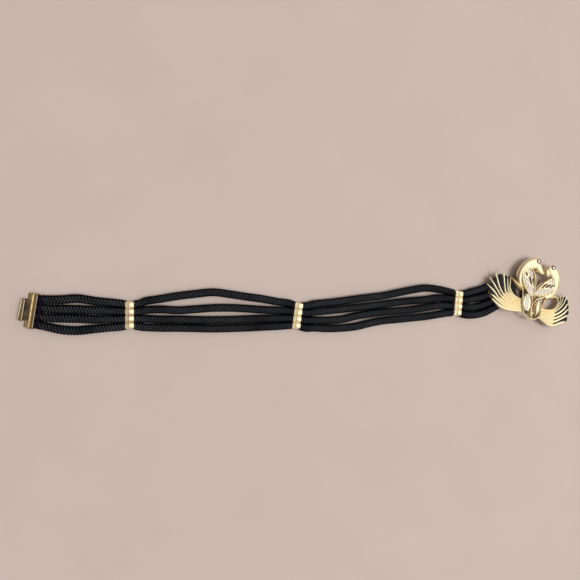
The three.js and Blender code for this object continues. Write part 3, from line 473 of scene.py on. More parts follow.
def yarn_twist():
    """Twisted thread: fine filaments along each strand's own length, from its UV, with a painted sheen on them
    and painted shade darkening the strand's edges.
    """
    group, given, result = surface_group("yarn_twist", {
        "Tone": (0.001, 0.001, 0.001, 1), "Light Tone": (0.2, 0.2, 0.2, 1), "Filaments": 7.0})
    where = node(group, "UVMap", uv_map="run"), "UV"
    scale = node(group, "CombineXYZ", X=0.5, Y=(given, "Filaments"), Z=1.0), "Vector"
    stretch = node(group, "Mapping", Vector=where, Rotation=(0, 0, 0.16), Scale=scale), "Vector"
    fibres = node(group, "TexNoise", Vector=stretch, Scale=1.0, Detail=3.0, Roughness=0.65), "Fac"
    place = node(group, "TexCoord"), "Object"
    # patches where the painted sheen of the fibres shows
    sheen_patches = node(group, "TexNoise", Vector=place, Scale=45.0, Detail=4.0), "Fac"
    mask = node(group, "Math", fibres, sheen_patches, operation="MULTIPLY"), 0
    # painted shade: the colour darkens from the strand's crest to its edges, where strands lie in each other's
    # shade
    sideways = node(group, "SeparateXYZ", where), "Y"
    off = node(group, "Math", sideways, operation="ABSOLUTE"), 0
    crest = node(group, "MapRange", off, From_Min=0.25, From_Max=0.85, To_Min=1.0, To_Max=0.0), "Result"
    painted_sheen_share = node(group, "Math", mask, crest, operation="MULTIPLY"), 0
    # the light tone is a painted sheen on the near-black yarn
    tint = blend(group, painted_sheen_share, (given, "Tone"), (given, "Light Tone"))
    rough = node(group, "MapRange", fibres, To_Min=0.42, To_Max=0.75), "Result"
    bump = node(group, "Bump", Strength=0.8, Distance=0.0006, Height=fibres), "Normal"
    fill(group, result, {"Color": tint, "Roughness": rough, "Normal": bump})
    return group


def bare_material(name):
    made = bpy.data.materials.new(name)
    made.use_nodes = True
    return made, made.node_tree, made.node_tree.nodes["Principled BSDF"]


def surfaced(name, group, values, settings):
    """A material whose colour, roughness and normal come from a node group with these values."""
    made, tree, shader = bare_material(name)
    surface = node(tree, "Group", node_tree=group)
    fill(tree, surface, values)
    fill(tree, shader, {"Base Color": (surface, "Color"), "Roughness": (surface, "Roughness"),
                        "Normal": (surface, "Normal"), **settings})
    return made


def metal(name, tone, dark, share=0.4, patches=120.0, rough=(0.16, 0.34), dent=0.2, metallic=1.0, specular=0.5):
    values = {"Tone": (*tone, 1), "Dark Tone": (*dark, 1), "Patch Scale": patches, "Patch Share": share,
              "Low Roughness": rough[0], "High Roughness": rough[1], "Dent Depth": dent}
    return surfaced(name, WEAR, values, {"Metallic": metallic, "Specular IOR Level": specular})


def yarn(name, tone, light, filaments=7.0):
    # the light tone is a painted sheen of the fibres
    values = {"Tone": (*tone, 1), "Light Tone": (*light, 1), "Filaments": filaments}
    return surfaced(name, TWIST, values, {"Specular IOR Level": 0.05})


def crystal_material():
    """A cut stone on foil: near-mirror facets whose tone shifts from stone to stone."""
    made, tree, shader = bare_material("crystal")
    cells = node(tree, "TexNoise", Vector=(node(tree, "TexCoord"), "Object"), Scale=420.0, Detail=1.0), "Fac"
    span = node(tree, "MapRange", cells, From_Min=0.35, From_Max=0.62), "Result"
    tint = blend(tree, span, (0.76, 0.69, 0.58, 1), (0.98, 0.96, 0.92, 1))
    rough = node(tree, "MapRange", cells, To_Min=0.03, To_Max=0.14), "Result"
    fill(tree, shader, {"Base Color": tint, "Roughness": rough, "Metallic": 0.6, "Coat Weight": 0.5})
    return made


def floor_material():
    made, tree, shader = bare_material("pale_floor")
    where = node(tree, "TexCoord"), "Object"
    cloud = node(tree, "TexNoise", Vector=where, Scale=9.0, Detail=6.0, Roughness=0.6), "Fac"
    tint = blend(tree, cloud, (0.448, 0.365, 0.325, 1), (0.512, 0.420, 0.378, 1))
    fill(tree, shader, {"Base Color": tint, "Roughness": 0.85})
    return made


WEAR = metal_wear()
TWIST = yarn_twist()
POLISHED_GOLD = metal("polished_gold", (0.98, 0.86, 0.58), (0.90, 0.70, 0.36), share=0.35, rough=(0.13, 0.27))
SATIN_GOLD = metal("satin_gold", (0.95, 0.83, 0.55), (0.84, 0.64, 0.32), rough=(0.27, 0.40), dent=0.3)
BEAD_GOLD = metal("bead_gold", (1.0, 0.88, 0.60), (0.92, 0.70, 0.36), share=0.5, patches=400.0,
                  rough=(0.14, 0.3), dent=0.3, metallic=0.72)
# painted shade: a darker amber copy of the gold, for grooves, recesses and low parts
AMBER_PAINTED_SHADE = metal("amber_painted_shade", (0.84, 0.64, 0.32), (0.34, 0.20, 0.07), share=0.8, patches=420.0,
                   rough=(0.2, 0.42), dent=0.8)
# painted shade and reflection: a dim olive copy of the gold, for flat clasp faces that mirror dark surroundings
OLIVE_PAINTED_SHADE = metal("olive_painted_shade", (0.46, 0.35, 0.19), (0.16, 0.11, 0.05), share=0.8, patches=160.0,
                   rough=(0.16, 0.32))
BED_GOLD = metal("bed_gold", (0.96, 0.84, 0.58), (0.62, 0.43, 0.20), share=0.6, patches=700.0,
                 rough=(0.15, 0.35), dent=0.5)
# painted shade and reflection: brown to dark grey, for the hollow inside the hook
HOOK_PAINTED_SHADE = metal("hook_painted_shade", (0.20, 0.14, 0.075), (0.03, 0.03, 0.032), share=1.0, patches=90.0,
                   rough=(0.35, 0.6), metallic=0.5)
# painted shade: a dark brown copy of the gold, for the clasp's cap
BROWN_PAINTED_SHADE = metal("brown_painted_shade", (0.40, 0.28, 0.13), (0.20, 0.12, 0.05), share=0.6, patches=110.0,
                   rough=(0.2, 0.36), dent=0.25)
# painted shade: a darker copy of the gold for the valleys between feathers
VALLEY_PAINTED_SHADE = metal("valley_painted_shade", (0.92, 0.72, 0.40), (0.68, 0.45, 0.19), share=0.6, patches=300.0,
                    rough=(0.22, 0.4))
SILVER_EDGE = metal("silver_edge", (0.62, 0.60, 0.56), (0.40, 0.37, 0.32), rough=(0.2, 0.35))
DARK_SETTING = metal("dark_setting", (0.055, 0.045, 0.035), (0.02, 0.017, 0.013), rough=(0.3, 0.5))
BLACKENED_CAP = metal("blackened_cap", (0.007, 0.007, 0.009), (0.004, 0.004, 0.005), rough=(0.35, 0.55),
                      metallic=0.0, specular=0.12)
BLACK_ENAMEL = metal("black_enamel", (0.006, 0.007, 0.010), (0.003, 0.003, 0.005), rough=(0.12, 0.24),
                     dent=0.1, metallic=0.0, specular=0.16)
# one black yarn in a lit and a shaded copy: a bright painted sheen for strands wound one way, painted shade for
# the others
SHEEN_PAINTED_YARN = yarn("sheen_painted_yarn", (0.0006, 0.0007, 0.001), (0.150, 0.160, 0.190))
SHADE_PAINTED_YARN = yarn("shade_painted_yarn", (0.0003, 0.0004, 0.0006), (0.012, 0.014, 0.018))
CORD_CORE = yarn("cord_core", (0.0004, 0.0005, 0.0008), (0.004, 0.004, 0.006))
BINDING_YARN = yarn("binding_yarn", (0.003, 0.0015, 0.004), (0.020, 0.013, 0.026), filaments=2.0)
CRYSTAL = crystal_material()


# Cords

def cord_route(cord):
    """Rows of (x, y, height of the middle, half width, half height) along one cord, in the row frame."""
    across = SIDE_BY_SIDE[cord]
    rows = []

    def held(place, along, pitch, half_width, half_height, height):
        spot = place.at([along, across * pitch, height])
        rows.append((*spot, half_width, half_height))

    def held_in_cap(place, ends):
        for along, gain, half_width, half_height in ends:
            held(place, along, place.pitch + gain, half_width, half_height, CAP_TALL / 2)

    held_in_cap(CLASP, IN_CLASP)
    spacers = list(SPACERS.values())
    for x, *places, girth in CORD_ROWS:
        while spacers and x + CENTRING[0] > spacers[0].origin[0]:
            place = spacers.pop(0)
            for along, pitch, width in NEAR_SPACER:
                held(place, along, pitch, width, min(width, SQUEEZED_HEIGHT), BORE_HEIGHT)
        radius = girth * CORD_RADIUS * CORD_FULL
        rows.append((x + CENTRING[0], places[cord] + CENTRING[1], radius * 0.97, radius, radius * 0.97))
    held_in_cap(BUCKLE_CAP, IN_BUCKLE_CAP)
    return np.array(rows)


def even_route(rows, step):
    """The route's rows at equal steps of length, and the length up to each."""
    fine = smooth(rows, shares(60 * len(rows)))
    gone = np.concatenate([[0], np.cumsum(np.linalg.norm(np.diff(fine[:, :3], axis=0), axis=1))])
    length = np.linspace(0, gone[-1], int(gone[-1] / step) + 1)
    return np.stack([np.interp(length, gone, column) for column in fine.T], 1), length


def cord_sides(middle):
    """Directions to a cord's left and straight up from it, along its middle line."""
    way, side = directions(middle)
    up = np.cross(way, side)
    up[up[:, 2] < 0] *= -1
    return side, up


def rings_along(middle, side, up, section, wide, tall):
    """Rings of a section along a line, so many times as wide and as tall at each place."""
    return (middle[:, None] + side[:, None] * section[None, :, :1] * wide[:, None, None]
            + up[:, None] * section[None, :, 1:] * tall[:, None, None])


def braid_cord(cord):
    """Two sets of strands wound against each other, each passing over the others and then under them."""
    rows, length = even_route(cord_route(cord), CORD_STEP)
    middle, half_width, half_height = rows[:, :3], rows[:, 3], rows[:, 4]
    side, up = cord_sides(middle)
    shape = Shape()
    section = ellipse(STRAND_SIDES) * (STRAND_HALF_WIDTH, STRAND_HALF_THICK)
    even = np.ones(len(middle))
    reach = STRAND_WAVE + STRAND_HALF_THICK
    for turning in (1, -1):
        for strand in range(STRANDS_EACH_WAY):
            turn = 2 * math.pi * (strand / STRANDS_EACH_WAY + turning * length / BRAID_LEAD)
            wave = -np.tanh(2.2 * np.cos(2 * turn)) * turning * STRAND_WAVE
            out = side * np.cos(turn)[:, None] + up * np.sin(turn)[:, None]
            scale = np.stack([half_width - reach, half_height - reach], 1)
            centre = (middle + side * (np.cos(turn) * (scale[:, 0] + wave))[:, None]
                      + up * (np.sin(turn) * (scale[:, 1] + wave))[:, None])
            run = np.gradient(centre, axis=0)
            run /= np.linalg.norm(run, axis=1, keepdims=True)
            flat = np.cross(out, run)
            flat /= np.linalg.norm(flat, axis=1, keepdims=True)
            rings = rings_along(centre, flat, out, section, even, even)
            uv = np.stack(np.broadcast_arrays(length[:, None] + strand * 37.0 + turning * 11.0,
                                              section[None, :, 0]), -1)
            # strands wound one way take the yarn with painted sheen, the others the yarn with painted shade
            shape.tube(rings, 0 if turning > 0 else 2, uv)
    inset = reach + 0.25
    rings = rings_along(middle, side, up, ellipse(12), half_width - inset, half_height - inset)
    shape.tube(rings[::3], 1)
    name = CORD_NAMES[cord]
    shape.piece(f"braided_{name}", [SHEEN_PAINTED_YARN, CORD_CORE, SHADE_PAINTED_YARN], "cord", [name])


def cord_binding():
    """The dark thread wound round each cord's end beside the clasp."""
    shape = Shape()
    for cord in range(len(CORD_NAMES)):
        rows, length = even_route(cord_route(cord), 0.1)
        keep = (length > BINDING_FROM) & (length < BINDING_TO)
        rows = rows[keep]
        side, up = cord_sides(rows[:, :3])
        swell = -0.1 + 0.22 * np.abs(np.sin(length[keep] * math.pi / THREAD_PITCH))
        shape.tube(rings_along(rows[:, :3], side, up, ellipse(20), rows[:, 3] + swell, rows[:, 4] + swell), 0)
    shape.piece("cord_binding", [BINDING_YARN], "cord")


# Spacer bars

def bead_rings(place, across, steps=44, sides=156):
    """One bead around its bore: a ribbed slope towards the clasp, a ridge, and a smooth slope beyond it."""
    along = np.linspace(-BEAD_LONG / 2, BEAD_LONG / 2, steps)
    share = along / (BEAD_LONG / 2)
    profile = np.where(share < 0, 1 + 0.13 * share, 1 - 0.03 * share - 0.10 * share ** 2)
    profile += 0.03 * np.exp(-((along + 0.2) / 0.4) ** 2)
    profile -= 0.07 * np.clip((np.abs(share) - 0.9) / 0.1, 0, 1) ** 2
    turn = np.arange(sides) / sides * 2 * math.pi
    ribs = RIB_DEEP * (np.abs(np.cos(BEAD_RIBS / 2 * turn)) - 1)
    ribbed = np.clip(-(along + 0.5) / 0.5, 0, 1) * np.clip((4.3 + along) / 0.4, 0, 1)
    radius = profile[:, None] * BEAD_RADIUS + ribs[None] * ribbed[:, None]
    square = np.interp(along, (-0.5, 0.6), (0.95, 0.55))[:, None]
    swing, lift = (np.sign(v) * np.abs(v) ** square for v in (np.sin(turn)[None], np.cos(turn)[None]))
    y = across * BEAD_PITCH + swing * radius * np.interp(along, (-0.5, 0.6), (0.83, 0.70))[:, None]
    z = np.maximum(BORE_HEIGHT + lift * radius, 0.02)
    outer = place.at(np.stack([np.broadcast_to(along[:, None], y.shape), y, z], -1))
    bore = np.stack([np.sin(turn) * BORE_RADIUS + across * BEAD_PITCH,
                     np.cos(turn) * BORE_RADIUS + BORE_HEIGHT], 1)
    inner = [place.at(np.column_stack([np.full(sides, x), bore])) for x in (BEAD_LONG / 2, 0, -BEAD_LONG / 2)]
    return np.concatenate([outer, inner])


def spacer_bar(name, place):
    shape = Shape()
    for across in SIDE_BY_SIDE:
        shape.tube(bead_rings(place, across), 0, closed=True)
    # the sole under the beads and the webs between them take the amber painted shade of the grooves
    slabs = [(0, SOLE_HALF, 0.0, SOLE_TALL)]
    slabs += [(web * BEAD_PITCH, WEB_HALF, WEB_LOW, WEB_HIGH) for web in (-1, 0, 1)]
    for middle, half, low, high in slabs:
        corners = ((-half, low), (half, low), (half, high), (-half, high))
        shape.tube([place.at([(x, middle + y, z) for y, z in corners]) for x in (-SLAB_HALF, SLAB_HALF)], 1)
    shape.piece(f"beads_{name}", [BEAD_GOLD, AMBER_PAINTED_SHADE], "gold", [name], crease=40)


# Clasp

def rounded_outline(wide, tall, corner, bottom, turns=6):
    """A rounded rectangle as points (across, height)."""
    points = []
    centres = ((wide / 2 - corner, bottom + corner, -90), (wide / 2 - corner, bottom + tall - corner, 0),
               (-wide / 2 + corner, bottom + tall - corner, 90), (-wide / 2 + corner, bottom + corner, 180))
    for y, z, start in centres:
        for i in range(turns + 1):
            a = math.radians(start + 90 * i / turns)
            points.append((y + corner * math.cos(a), z + corner * math.sin(a)))
    return np.array(points)


def cap_rings(place, sign, wide, deep, edge=0.45):
    """A hollow cap over the cords' ends, its mouth at 0 and its closed end at deep, with softened edges."""
    rings = []

    def ring(x, inset, corner):
        outline = rounded_outline(wide - 2 * inset, CAP_TALL - 2 * inset, corner, inset)
        rings.append(place.at(np.column_stack([np.full(len(outline), sign * x), outline])))

    for x, inset in ((deep, edge), (deep - edge * 0.3, edge * 0.3), (deep - edge, 0.0), (edge * 0.5, 0.0),
                     (0.0, edge * 0.6)):
        ring(x, inset, CAP_CORNER - inset)
    for x in (0.0, deep - CAP_WALL):
        ring(x, CAP_WALL, BORE_CORNER)
    return rings


def both_ends(rows):
    """Rows of (place, value) at one end of a width, and the same at its other end."""
    return [(-y, value) for y, value in rows] + [(y, value) for y, value in rows[::-1]]


def clasp_bar(shape, finish, rows, wide, x, z, radius, tall, slant=0.0):
    """A round bar across the clasp, with rows of (share of the width, share of the radius)."""
    ring = ellipse(16)
    shape.tube([CLASP.at(np.column_stack([ring[:, 0] * radius * share + x + y * slant, np.full(16, y * wide),
                                          ring[:, 1] * tall * share + z])) for y, share in rows], finish)


def clasp():
    """A cap with a ridge and a bright edge, a base plate, and a tongue folded back into a lip."""
    shape = Shape()
    # the cap in brown painted shade, its ridge in amber painted shade
    shape.tube(cap_rings(CLASP, -1, CLASP.wide, CLASP.deep), 5)
    clasp_bar(shape, 1, both_ends(RIDGE_ENDS), CLASP.wide, RIDGE_IN - CLASP.deep, CAP_TALL + RIDGE_UP,
              RIDGE_RADIUS, RIDGE_RADIUS)
    clasp_bar(shape, 2, [(y, 1.0) for y in np.linspace(-0.47, 0.47, 12)], CLASP.wide, -SILVER_HALF_LONG,
              CAP_TALL - 0.1, SILVER_HALF_LONG, SILVER_HALF_TALL)
    # base plate with its step, in olive painted shade
    top = PLATE_THICK - 0.06
    end, start = -PLATE_LONG, -UNDER_CAP
    slab = ((end, PLATE_BEVEL), (end + PLATE_BEVEL, 0.04), (start, 0.04), (start, top),
            (end + PLATE_BEVEL, top), (end, top - PLATE_BEVEL))
    shape.tube([CLASP.at([(min(x + PLATE_CORNER * cut, start), y * CLASP.wide, z) for x, z in slab])
                for y, cut in both_ends(PLATE_ENDS)], 3)
    # dark sheet of painted shade and reflection on the hook's floor, seen between its lip and the cap
    from_end, from_cap, from_side = HOOK_SHADE_FLOOR
    far, near, low, high = from_end - TONGUE_LONG, -from_cap, 0.9, PLATE_THICK + 0.12
    floor = ((far, low), (near, low), (near, high), (far, high))
    half = TONGUE_WIDE / 2 - from_side
    shape.tube([CLASP.at([(x, y, z) for x, z in floor]) for y in (-half, half)], 4)
    # tongue, folded back over the plate, in olive painted shade
    outer = PLATE_THICK + HOOK_GAP / 2
    middle = TONGUE_LONG - outer
    lip = TONGUE_LONG - LIP_LONG

    def fold(radius, turns):
        return [(-middle - radius * math.cos(a), outer + radius * math.sin(a)) for a in np.radians(turns)]

    arc = np.linspace(-90, 90, 15)
    profile = ([(start, 0.0)] + fold(outer, arc)
               + [(-lip - 0.3, 2 * outer), (-lip, 2 * outer - 0.4), (-lip, 2 * outer - PLATE_THICK)]
               + fold(HOOK_GAP / 2, arc[::-1]) + [(start, PLATE_THICK)])
    rows = []
    for y, cut in both_ends(LIP_ENDS):
        back = LIP_CORNER * cut + y + 0.5
        rows.append(CLASP.at([(x + back * min(max((-lip - x) / 4, 0), 1), y * TONGUE_WIDE, z)
                              for x, z in profile]))
    shape.tube(rows, 3)
    # beading along the edge of the lip
    for x, z, radius, slant in ((-lip - 0.25, 2 * outer - 0.15, 0.42, 0.0),
                                (2.3 - TONGUE_LONG, 2 * outer - 0.42, 0.5, 1.0)):
        clasp_bar(shape, 0, both_ends(BEADING_ENDS), TONGUE_WIDE, x, z, radius, radius, slant)
    # painted shade throughout the clasp: amber on the ridge, olive on the plate and tongue, dark on the hook's
    # floor, brown on the cap
    finishes = [POLISHED_GOLD, AMBER_PAINTED_SHADE, SILVER_EDGE, OLIVE_PAINTED_SHADE, HOOK_PAINTED_SHADE, BROWN_PAINTED_SHADE]
    shape.piece("clasp_hook", finishes, "gold", ["hook_clasp"], crease=35)


# Buckle

def neck_rows(side):
    to_r, to_u = SWANS[side]["neck"]
    return [(side * r * SWAN_WIDE + to_r, u * SWAN_TALL + to_u, half * NECK_HALF, rise * NECK_RISE)
            for r, u, half, rise in NECK_ROWS]


def ball_rings(across, along, wide, tall, steps=18, sides=28):
    turn = np.arange(sides) / sides * 2 * math.pi
    rings = []
    for a in np.linspace(0.04, math.pi / 2, steps):
        out, height = wide * math.sin(a), BACK_Z + tall * math.cos(a)
        rings.append(on_buckle(across + out * np.cos(turn), along + out * np.sin(turn), height))
    return rings


def swan_body(side, name):
    """Neck, head and bill grown into one skin."""
    shape = Shape()
    shape.tube(strip_rings(neck_rows(side), domed(20), 60), 0)
    head_r, head_u = SWANS[side]["head"]
    shape.tube(ball_rings(head_r, head_u, HEAD_RADIUS, NECK_RISE), 0)
    shape.tube(strip_rings(named_strip(f"bill_{name}"), domed(16), 24), 0)
    eye_r, eye_u = SWANS[side]["eye"]
    shape.tube(ball_rings(eye_r, eye_u, EYE_MOUND, NECK_RISE + 0.15, 12, 24), 0)
    body = shape.piece(f"swan_{name}", [SATIN_GOLD], "gold")
    grow = body.modifiers.new("one_skin", "REMESH")
    grow.mode, grow.voxel_size, grow.use_smooth_shade = "VOXEL", 0.38 * MM, True
    soften = body.modifiers.new("soften", "SMOOTH")
    soften.factor, soften.iterations = 0.5, 6
    apply_modifiers(body)
    return body


def apply_modifiers(piece):
    graph = bpy.context.evaluated_depsgraph_get()
    made = bpy.data.meshes.new_from_object(piece.evaluated_get(graph))
    old = piece.data
    piece.modifiers.clear()
    piece.data = made
    made.name = old.name
    bpy.data.meshes.remove(old)


def wing_curve(side, rows, share):
    to_r, to_u = SWANS[side]["wing"]
    line = smooth([(side * r * SWAN_WIDE, u * SWAN_TALL) for r, u in rows], share)
    c, s = math.cos(WING_TURN), math.sin(WING_TURN)
    return np.stack([c * line[:, 0] - s * line[:, 1] + to_r, s * line[:, 0] + c * line[:, 1] + to_u], 1)


def wing_rim(shape, side, steps=180):
    """One raised edge all the way round the wing, from where the wings cross."""
    line = wing_curve(side, WING_OUTER + WING_INNER[-2::-1], shares(steps))
    swell = RIM_HALF * np.interp(shares(steps), (0, 0.06, 0.94, 1), (0.5, 1.0, 1.0, 0.5))
    full = np.column_stack([line, swell, np.full(steps, RIM_RISE + 0.6)])
    shape.tube(strip_rings(full, domed(12, 0.9), steps), 0)


def wing_floor(shape, side, finish, inset, bottom, top, dome, span=(0.03, 0.965), steps=60, columns=14):
    """A plate between the wing's two edges, domed across."""
    t = np.linspace(*span, steps)
    inner, outer = wing_curve(side, WING_INNER, t), wing_curve(side, WING_OUTER, t)
    width = np.linalg.norm(outer - inner, axis=1)
    trim = np.clip(inset / np.maximum(width, 0.1), 0, 0.45)
    f = trim[:, None] + (1 - 2 * trim)[:, None] * shares(columns)[None]
    spots = inner[:, None] * (1 - f[..., None]) + outer[:, None] * f[..., None]
    rise = top + dome * (1 - (2 * shares(columns) - 1) ** 2)
    top_points = on_buckle(spots[..., 0], spots[..., 1], np.broadcast_to(rise, f.shape))
    low_points = on_buckle(spots[..., 0], spots[..., 1], np.full(f.shape, bottom))
    shape.tube(np.concatenate([top_points, low_points[:, ::-1]], 1), finish)


def stone(shape, spot, radius, rise, finish, turn=0.0, sink=0.35, sides=8):
    """A cut stone: a table, eight facets down to the girdle and a short side into the setting."""
    rings = []
    for z, share in ((-sink, 0.92), (rise * 0.3, 1.0), (rise * 0.7, 0.86), (rise, 0.58)):
        a = (np.arange(sides) + 0.5 * (share < 0.9)) / sides * 2 * math.pi + turn
        rings.append(spot + np.stack([np.cos(a) * radius * share, np.sin(a) * radius * share,
                                      np.full(sides, z)], 1))
    shape.tube(rings, finish)


def grain(shape, spot, radius, finish, sides=8):
    """A bead of metal raised between stones."""
    rings = []
    for a in (0.15, 0.6, 1.1, 1.57):
        t = np.arange(sides) / sides * 2 * math.pi
        rings.append(spot + np.stack([np.cos(t) * radius * math.sin(a), np.sin(t) * radius * math.sin(a),
                                      np.full(sides, radius * math.cos(a))], 1))
    shape.tube(rings, finish)


def nearest_cross(point, inner, outer):
    """How far a point lies from the inner curve towards the outer one, as a share."""
    span = outer - inner
    width = np.linalg.norm(span, axis=1)
    share = np.clip(((point - inner) * span).sum(1) / np.maximum(width, 0.01) ** 2, 0, 1)
    off = np.linalg.norm(inner + span * share[:, None] - point, axis=1)
    return share[np.argmin(off)]


def domed_height(inner, outer, base, dome):
    """The height of a bed that is domed between two curves, as a function of a place on it."""
    return lambda point: base + dome * (1 - (2 * nearest_cross(point, inner, outer) - 1) ** 2)


def edge_distance(point, outline):
    """Distance from a point to a closed outline, below zero outside it."""
    a, b = outline, np.roll(outline, -1, axis=0)
    way = b - a
    share = np.clip(((point - a) * way).sum(1) / np.maximum((way * way).sum(1), 1e-9), 0, 1)
    far = np.linalg.norm(a + way * share[:, None] - point, axis=1).min()
    crosses = (a[:, 1] > point[1]) != (b[:, 1] > point[1])
    beyond = point[0] < a[:, 0] + (point[1] - a[:, 1]) * way[:, 0] / np.where(way[:, 1] == 0, 1e-9, way[:, 1])
    return far if np.count_nonzero(crosses & beyond) % 2 else -far


def fill_with_stones(shape, outline, slits, height, seed):
    """Close rows of stones inside an outline and clear of the slits, with grains of metal between them."""
    rng = np.random.default_rng(seed)
    low, high = outline.min(0), outline.max(0)
    row_step = STONE_PITCH * math.sqrt(3) / 2
    for row, u in enumerate(np.arange(low[1], high[1], row_step)):
        for r in np.arange(low[0] + (row % 2) * STONE_PITCH / 2, high[0], STONE_PITCH):
            point = np.array([r, u]) + rng.normal(0, 0.06, 2)
            room = edge_distance(point, outline)
            clear = min((np.linalg.norm(line - point, axis=1).min() - half for line, half in slits),
                        default=9.0)
            size = min(STONE_RADIUS, room + 0.25, clear - 0.1)
            if size > 0.55:
                spot = on_buckle(*point, height(point))
                stone(shape, spot, size * rng.uniform(0.98, 1.06), 0.5, 0, rng.uniform(0, 0.7))
            for dr, du in ((0.5, 0.29), (0.0, 0.58)):
                gap = point + np.array([dr, du]) * STONE_PITCH
                if edge_distance(gap, outline) > 0.2 and all(
                        np.linalg.norm(line - gap, axis=1).min() > half + 0.3 for line, half in slits):
                    grain(shape, on_buckle(*gap, height(gap) + 0.05), 0.36, 1)


def paved_wing(side, name, node_name):
    shape = Shape()
    bed_top = PLATE_Z + BED_RISE
    wing_floor(shape, side, 1, RIM_HALF * 0.6, PLATE_Z + 0.3, bed_top, BED_DOME, PAVED_SPAN)
    t = np.linspace(*PAVED_SPAN, 120)
    inner, outer = wing_curve(side, WING_INNER, t), wing_curve(side, WING_OUTER, t)
    height = domed_height(inner, outer, bed_top, BED_DOME)
    slits = []
    for *ends, half in SLITS[side]:
        line = smooth(ends, shares(24))
        swell = half * np.sin(math.pi * np.clip(shares(24), 0.03, 0.97)) ** 0.5
        slits.append((line, half))
        base = np.array([height(point) for point in line]).mean() - 0.8
        full = np.column_stack([line, swell, np.full(24, 1.05)])
        shape.tube(strip_rings(full, domed(12, 0.6), 24, base), 2)
        way = sides_of(line)
        for edge_side in (-1, 1):
            lip = np.column_stack([line + edge_side * way * (swell[:, None] + 0.1),
                                   np.full(24, 0.2), np.full(24, 0.42)])
            shape.tube(strip_rings(lip, domed(8, 0.9), 24, base + 0.75), 1)
    outline = np.vstack([inner, outer[::-1]])
    centre = outline.mean(0)
    inset = np.linalg.norm(outline - centre, axis=1)[:, None]
    outline = centre + (outline - centre) * np.clip(1 - (RIM_HALF + 0.1) / inset, 0.2, 1)
    fill_with_stones(shape, outline, slits, height, 7 + side)
    shape.piece(name, [CRYSTAL, BED_GOLD, BLACK_ENAMEL], "crystal", [node_name], smooth_faces=False)


def paved_leaf():
    shape = Shape()
    rows = [(r * SWAN_WIDE, u * SWAN_TALL, half * LEAF_HALF, 0.9) for r, u, half in LEAF_ROWS]
    shape.tube(strip_rings(rows, domed(14, 0.6), 40, PLATE_Z + 0.7), 1)
    line = smooth(rows, shares(60))
    way = sides_of(line)
    left, right = (line[:, :2] + way * sign * (line[:, 2:3] - 0.15) for sign in (-1, 1))
    height = domed_height(left, right, PLATE_Z + 0.6, 1.0)
    fill_with_stones(shape, np.vstack([left, right[::-1]]), [], height, 5)
    shape.piece("paved_leaf", [CRYSTAL, BED_GOLD], "crystal", ["pave_leaf"], smooth_faces=False)


def feather_lines(side, count):
    return [smooth([(side * q * FAN_WIDE, u * FAN_TALL) for q, u in row], shares(count))
            for row in FEATHERS[side]]


def feather_fan(side, name, steps=90):
    """Feathers side by side: bright rounded ridges that narrow to free tips, with black enamel between them."""
    shape = Shape()
    lines = feather_lines(side, steps)
    t = shares(steps)
    crest = FEATHER_RISE * (1 - 0.35 * t * t) * np.interp(t, (0.8, 1), (1, 0.3))
    for i, line in enumerate(lines):
        near = [np.linalg.norm(line - lines[j], axis=1) for j in (i - 1, i + 1) if 0 <= j < len(lines)]
        half = np.minimum(np.minimum.reduce(near) * 0.5, 2.6)
        half = half * np.interp(t, *FEATHER_WIDTH)
        full = np.column_stack([line, np.maximum(half, 0.2), crest])
        shape.tube(strip_rings(full, domed(13, 0.85), steps, BACK_Z), 0)
    # webs between the feathers in the valley painted shade, with black enamel near the tips
    for left, right in zip(lines, lines[1:]):
        cut = int(steps * 0.93)
        span = np.linalg.norm(left - right, axis=1)[:cut]
        taper = np.interp(t[:cut], (0, 0.86, 0.93), (1, 1, 0.35))
        rise = np.interp(t[:cut], (0, 0.3, 0.45), (2.3, 2.0, 1.3))
        full = np.column_stack([(left + right)[:cut] / 2, span * 0.5 * taper, rise])
        shape.tube(strip_rings(full, np.array([(-1, 0), (-1, 1), (1, 1), (1, 0)]), cut, BACK_Z + 0.15), 2)
        start = int(steps * 0.42)
        share = shares(cut - start)
        width = span[start:] * 0.5 * taper[start:] * np.interp(share, (0, 0.3, 1), (0.1, 0.8, 0.85))
        full = np.column_stack([(left + right)[start:cut] / 2, width, np.full(cut - start, 0.7)])
        shape.tube(strip_rings(full, domed(9, 0.95), cut - start, BACK_Z + 1.3), 1)
    shape.piece(f"fan_{name}", [POLISHED_GOLD, BLACK_ENAMEL, VALLEY_PAINTED_SHADE], "gold")


